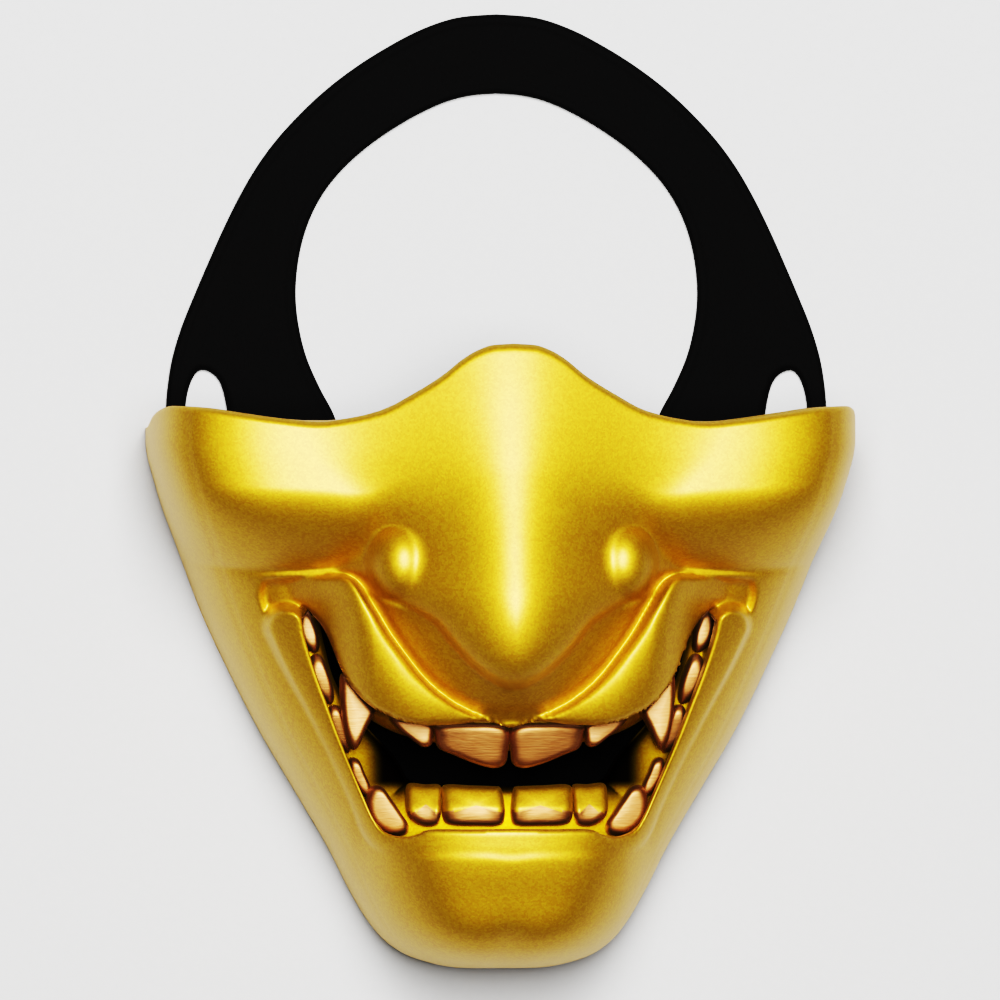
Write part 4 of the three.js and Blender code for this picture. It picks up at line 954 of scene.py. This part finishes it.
def gold_flake_paint(name="gold_flake_lacquer", painted_shade=False):
    """Gold flake lacquer, sprayed on cast resin and clear coated.

    The flakes give a broad glow with a fine sparkle, and the clear coat the pale soft highlights.
    The real flakes are about 0.1 mm and are drawn at 0.5 mm so that they show.
    With painted shade: beside the fangs the gum's colour goes to near black and its coat is left off, as
    painted shade for the dark deep in the mouth.
    """
    material, tree, shader, place = new_material(name)
    flake = mapped(tree, place, (0.5, 0.5, 0.5))
    cells = add_node(tree, "ShaderNodeTexVoronoi", None, {"Vector": flake, "Scale": 1.0})
    bright = add_node(tree, "ShaderNodeSeparateColor", None, {"Color": cells.outputs["Color"]})
    colour = two_tones(tree, bright.outputs["Red"], "#b78c0a", "#c4a01c")
    # Painted shade: near black mixed into the gum where it rises beside the fangs, for the dark deep in the
    # mouth
    if painted_shade:
        parts = add_node(tree, "ShaderNodeSeparateXYZ", None, {"Vector": place})
        aside = add_node(tree, "ShaderNodeMath", {"operation": "ABSOLUTE"}, {0: parts.outputs["X"]})
        inner = fade(tree, aside.outputs["Value"], 46.0 * MM, 30.0 * MM)
        upper = fade(tree, parts.outputs["Y"], (CHIN + 39.0) * MM, (CHIN + 48.0) * MM)
        black = add_node(tree, "ShaderNodeMath", {"operation": "MULTIPLY"}, {0: inner, 1: upper})
        cover = add_node(tree, "ShaderNodeMix", {"data_type": "RGBA"}, {"Factor": black.outputs["Value"]})
        cover.inputs["B"].default_value = srgb("#050302")
        tree.links.new(colour, cover.inputs["A"])
        colour = cover.outputs["Result"]
    grain = add_node(tree, "ShaderNodeTexNoise", None, {"Vector": flake, "Scale": 1.0, "Detail": 1.0})
    finish_surface(tree, shader, colour, grain.outputs["Fac"], 0.25, 0.1, {
        "Metallic": 1.0, "Roughness": 0.62, "Coat Weight": 0.0 if painted_shade else 0.8,
        "Coat Roughness": 0.42})
    return material


def copper_paint():
    """Copper lacquer, brushed on by hand.

    Its strokes, 0.4 mm wide and 5 mm long, give the teeth fine streaks along their width.
    """
    material, tree, shader, place = new_material("brushed_copper_lacquer")
    stroke = mapped(tree, place, (5.0, 0.4, 0.4))
    lines = add_node(tree, "ShaderNodeTexNoise", None, {"Vector": stroke, "Scale": 1.0, "Detail": 2.0})
    colour = two_tones(tree, lines.outputs["Fac"], "#96602e", "#b98c5a")
    finish_surface(tree, shader, colour, lines.outputs["Fac"], 0.3, 0.15, {
        "Metallic": 1.0, "Roughness": 0.56, "Coat Weight": 0.5, "Coat Roughness": 0.45})
    return material


def grained_material(name, colours, grain, depth, roughness, specular):
    """A dull material whose grain, of a size and depth in millimetres, goes between two colours."""
    material, tree, shader, place = new_material(name)
    spot = mapped(tree, place, grain)
    noise = add_node(tree, "ShaderNodeTexNoise", None, {"Vector": spot, "Scale": 1.0, "Detail": 2.0})
    colour = two_tones(tree, noise.outputs["Fac"], *colours)
    finish_surface(tree, shader, colour, noise.outputs["Fac"], 0.5, depth, {
        "Roughness": roughness, "Specular IOR Level": specular})
    return material


def make_camera():
    data = bpy.data.cameras.new("camera")
    camera = bpy.data.objects.new("camera", data)
    bpy.context.scene.collection.objects.link(camera)
    aim = Vector((VIEW_CENTRE[0], VIEW_CENTRE[1], VIEW_LEVEL)) * MM
    back = Vector((-math.sin(CAMERA_TURN), 0.0, math.cos(CAMERA_TURN)))
    camera.location = aim + back * CAMERA_DISTANCE * MM
    right = Vector((0.0, 1.0, 0.0)).cross(back)
    camera.rotation_mode = "QUATERNION"
    camera.rotation_quaternion = Matrix((right, back.cross(right), back)).transposed().to_quaternion()
    data.sensor_width = FILM_WIDTH
    data.lens = FILM_WIDTH * CAMERA_DISTANCE / VIEW_WIDTH
    data.clip_end = 100.0
    bpy.context.scene.camera = camera


def soft_light(name, place, size, power):
    """A white soft box that points at the mask. Its place and size are in metres."""
    data = bpy.data.lights.new(name, "AREA")
    data.shape = "RECTANGLE"
    data.size, data.size_y = size
    data.energy = power
    light = bpy.data.objects.new(name, data)
    bpy.context.scene.collection.objects.link(light)
    light.location = place
    light.rotation_mode = "QUATERNION"
    light.rotation_quaternion = (Vector((0.0, 0.0, 0.05)) - Vector(place)).to_track_quat("-Z", "Y")


def make_stage():
    # Matt studio paper, pressed from pulp: an even pale ground. Its fibres of about 0.03 mm are too
    # fine to show, and a faint mottle is drawn at 2 mm.
    grain = (2.0, 2.0, 2.0)
    floor_paper = grained_material("matt_paper_sheet", ("#bbbbbb", "#bfbfbf"), grain, 0.02, 0.9, 0.5)
    reach, low = 4000.0, -0.2
    corners = [(-reach, -reach, low), (reach, -reach, low), (reach, reach, low), (-reach, reach, low)]
    floor = make_object("floor", corners, [(0, 1, 2, 3)], [floor_paper])
    view = bpy.context.scene.view_settings
    view.view_transform = "Standard"
    view.use_curve_mapping = True
    curve = view.curve_mapping.curves[3]
    for light, shown in FILM_RESPONSE:
        curve.points.new(light, shown)
    curve.points[-1].location = FILM_WHITE
    view.curve_mapping.update()
    world = bpy.data.worlds.new("studio")
    world.use_nodes = True
    world.node_tree.nodes["Background"].inputs["Color"].default_value = srgb("#ffffff")
    world.node_tree.nodes["Background"].inputs["Strength"].default_value = 0.05
    bpy.context.scene.world = world
    soft_light("top_softbox", (0.0, 0.3, 1.7), (0.55, 0.9), 34.0)


def dress(piece, node_name):
    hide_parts(node_name)
    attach(piece, "root")


make_camera()
make_stage()
gold = gold_flake_paint()
# Gold lacquer with painted shade beside the fangs, for the lower gum
shaded_gum_gold = gold_flake_paint("gold_lacquer_painted_shade", True)
copper = copper_paint()
# Matt black paint, sprayed inside the casting: a dull dark skin with an orange peel of 1.5 mm
peel = (1.5, 1.5, 1.5)
black_paint = grained_material("matt_black_spray_paint", ("#050505", "#090909"), peel, 0.05, 0.9, 0.1)
# Neoprene foam sheet faced with knit nylon: deep black, with knit ribs 0.5 mm wide along the face
knit = (0.5, 1.2, 0.5)
rubber = grained_material("knit_faced_neoprene", ("#060606", "#0c0b0b"), knit, 0.1, 0.8, 0.12)
# Black sheet behind the teeth, the darkest black with hardly any gloss and a weave of 0.6 mm: painted shade
# for the dark inside the mouth
weave = (0.6, 0.6, 0.6)
mouth_shade_black = grained_material("black_mouth_shade", ("#030303", "#060606"), weave, 0.1, 0.95, 0.05)

dress(make_shell(gold, black_paint), "face_shell")
dress(make_gum("upper_gum_line", UPPER_GUM, False, gold), "upper_gum")
dress(make_gum("lower_gum_line", LOWER_GUM, True, shaded_gum_gold), "lower_gum")
# Painted shade: a black sheet behind the teeth for the dark inside the mouth
dress(make_mouth_shade_sheet(mouth_shade_black), "mouth_backing")
dress(make_strap(rubber), "head_strap")
for tooth, form in TEETH.items():
    for side, side_name in ((1, "right"), (-1, "left")):
        piece = make_tooth(f"{tooth}_{side_name}_cap", side, form, copper, gold)
        dress(piece, f"{tooth}_{side_name}")

bpy.context.view_layer.update()
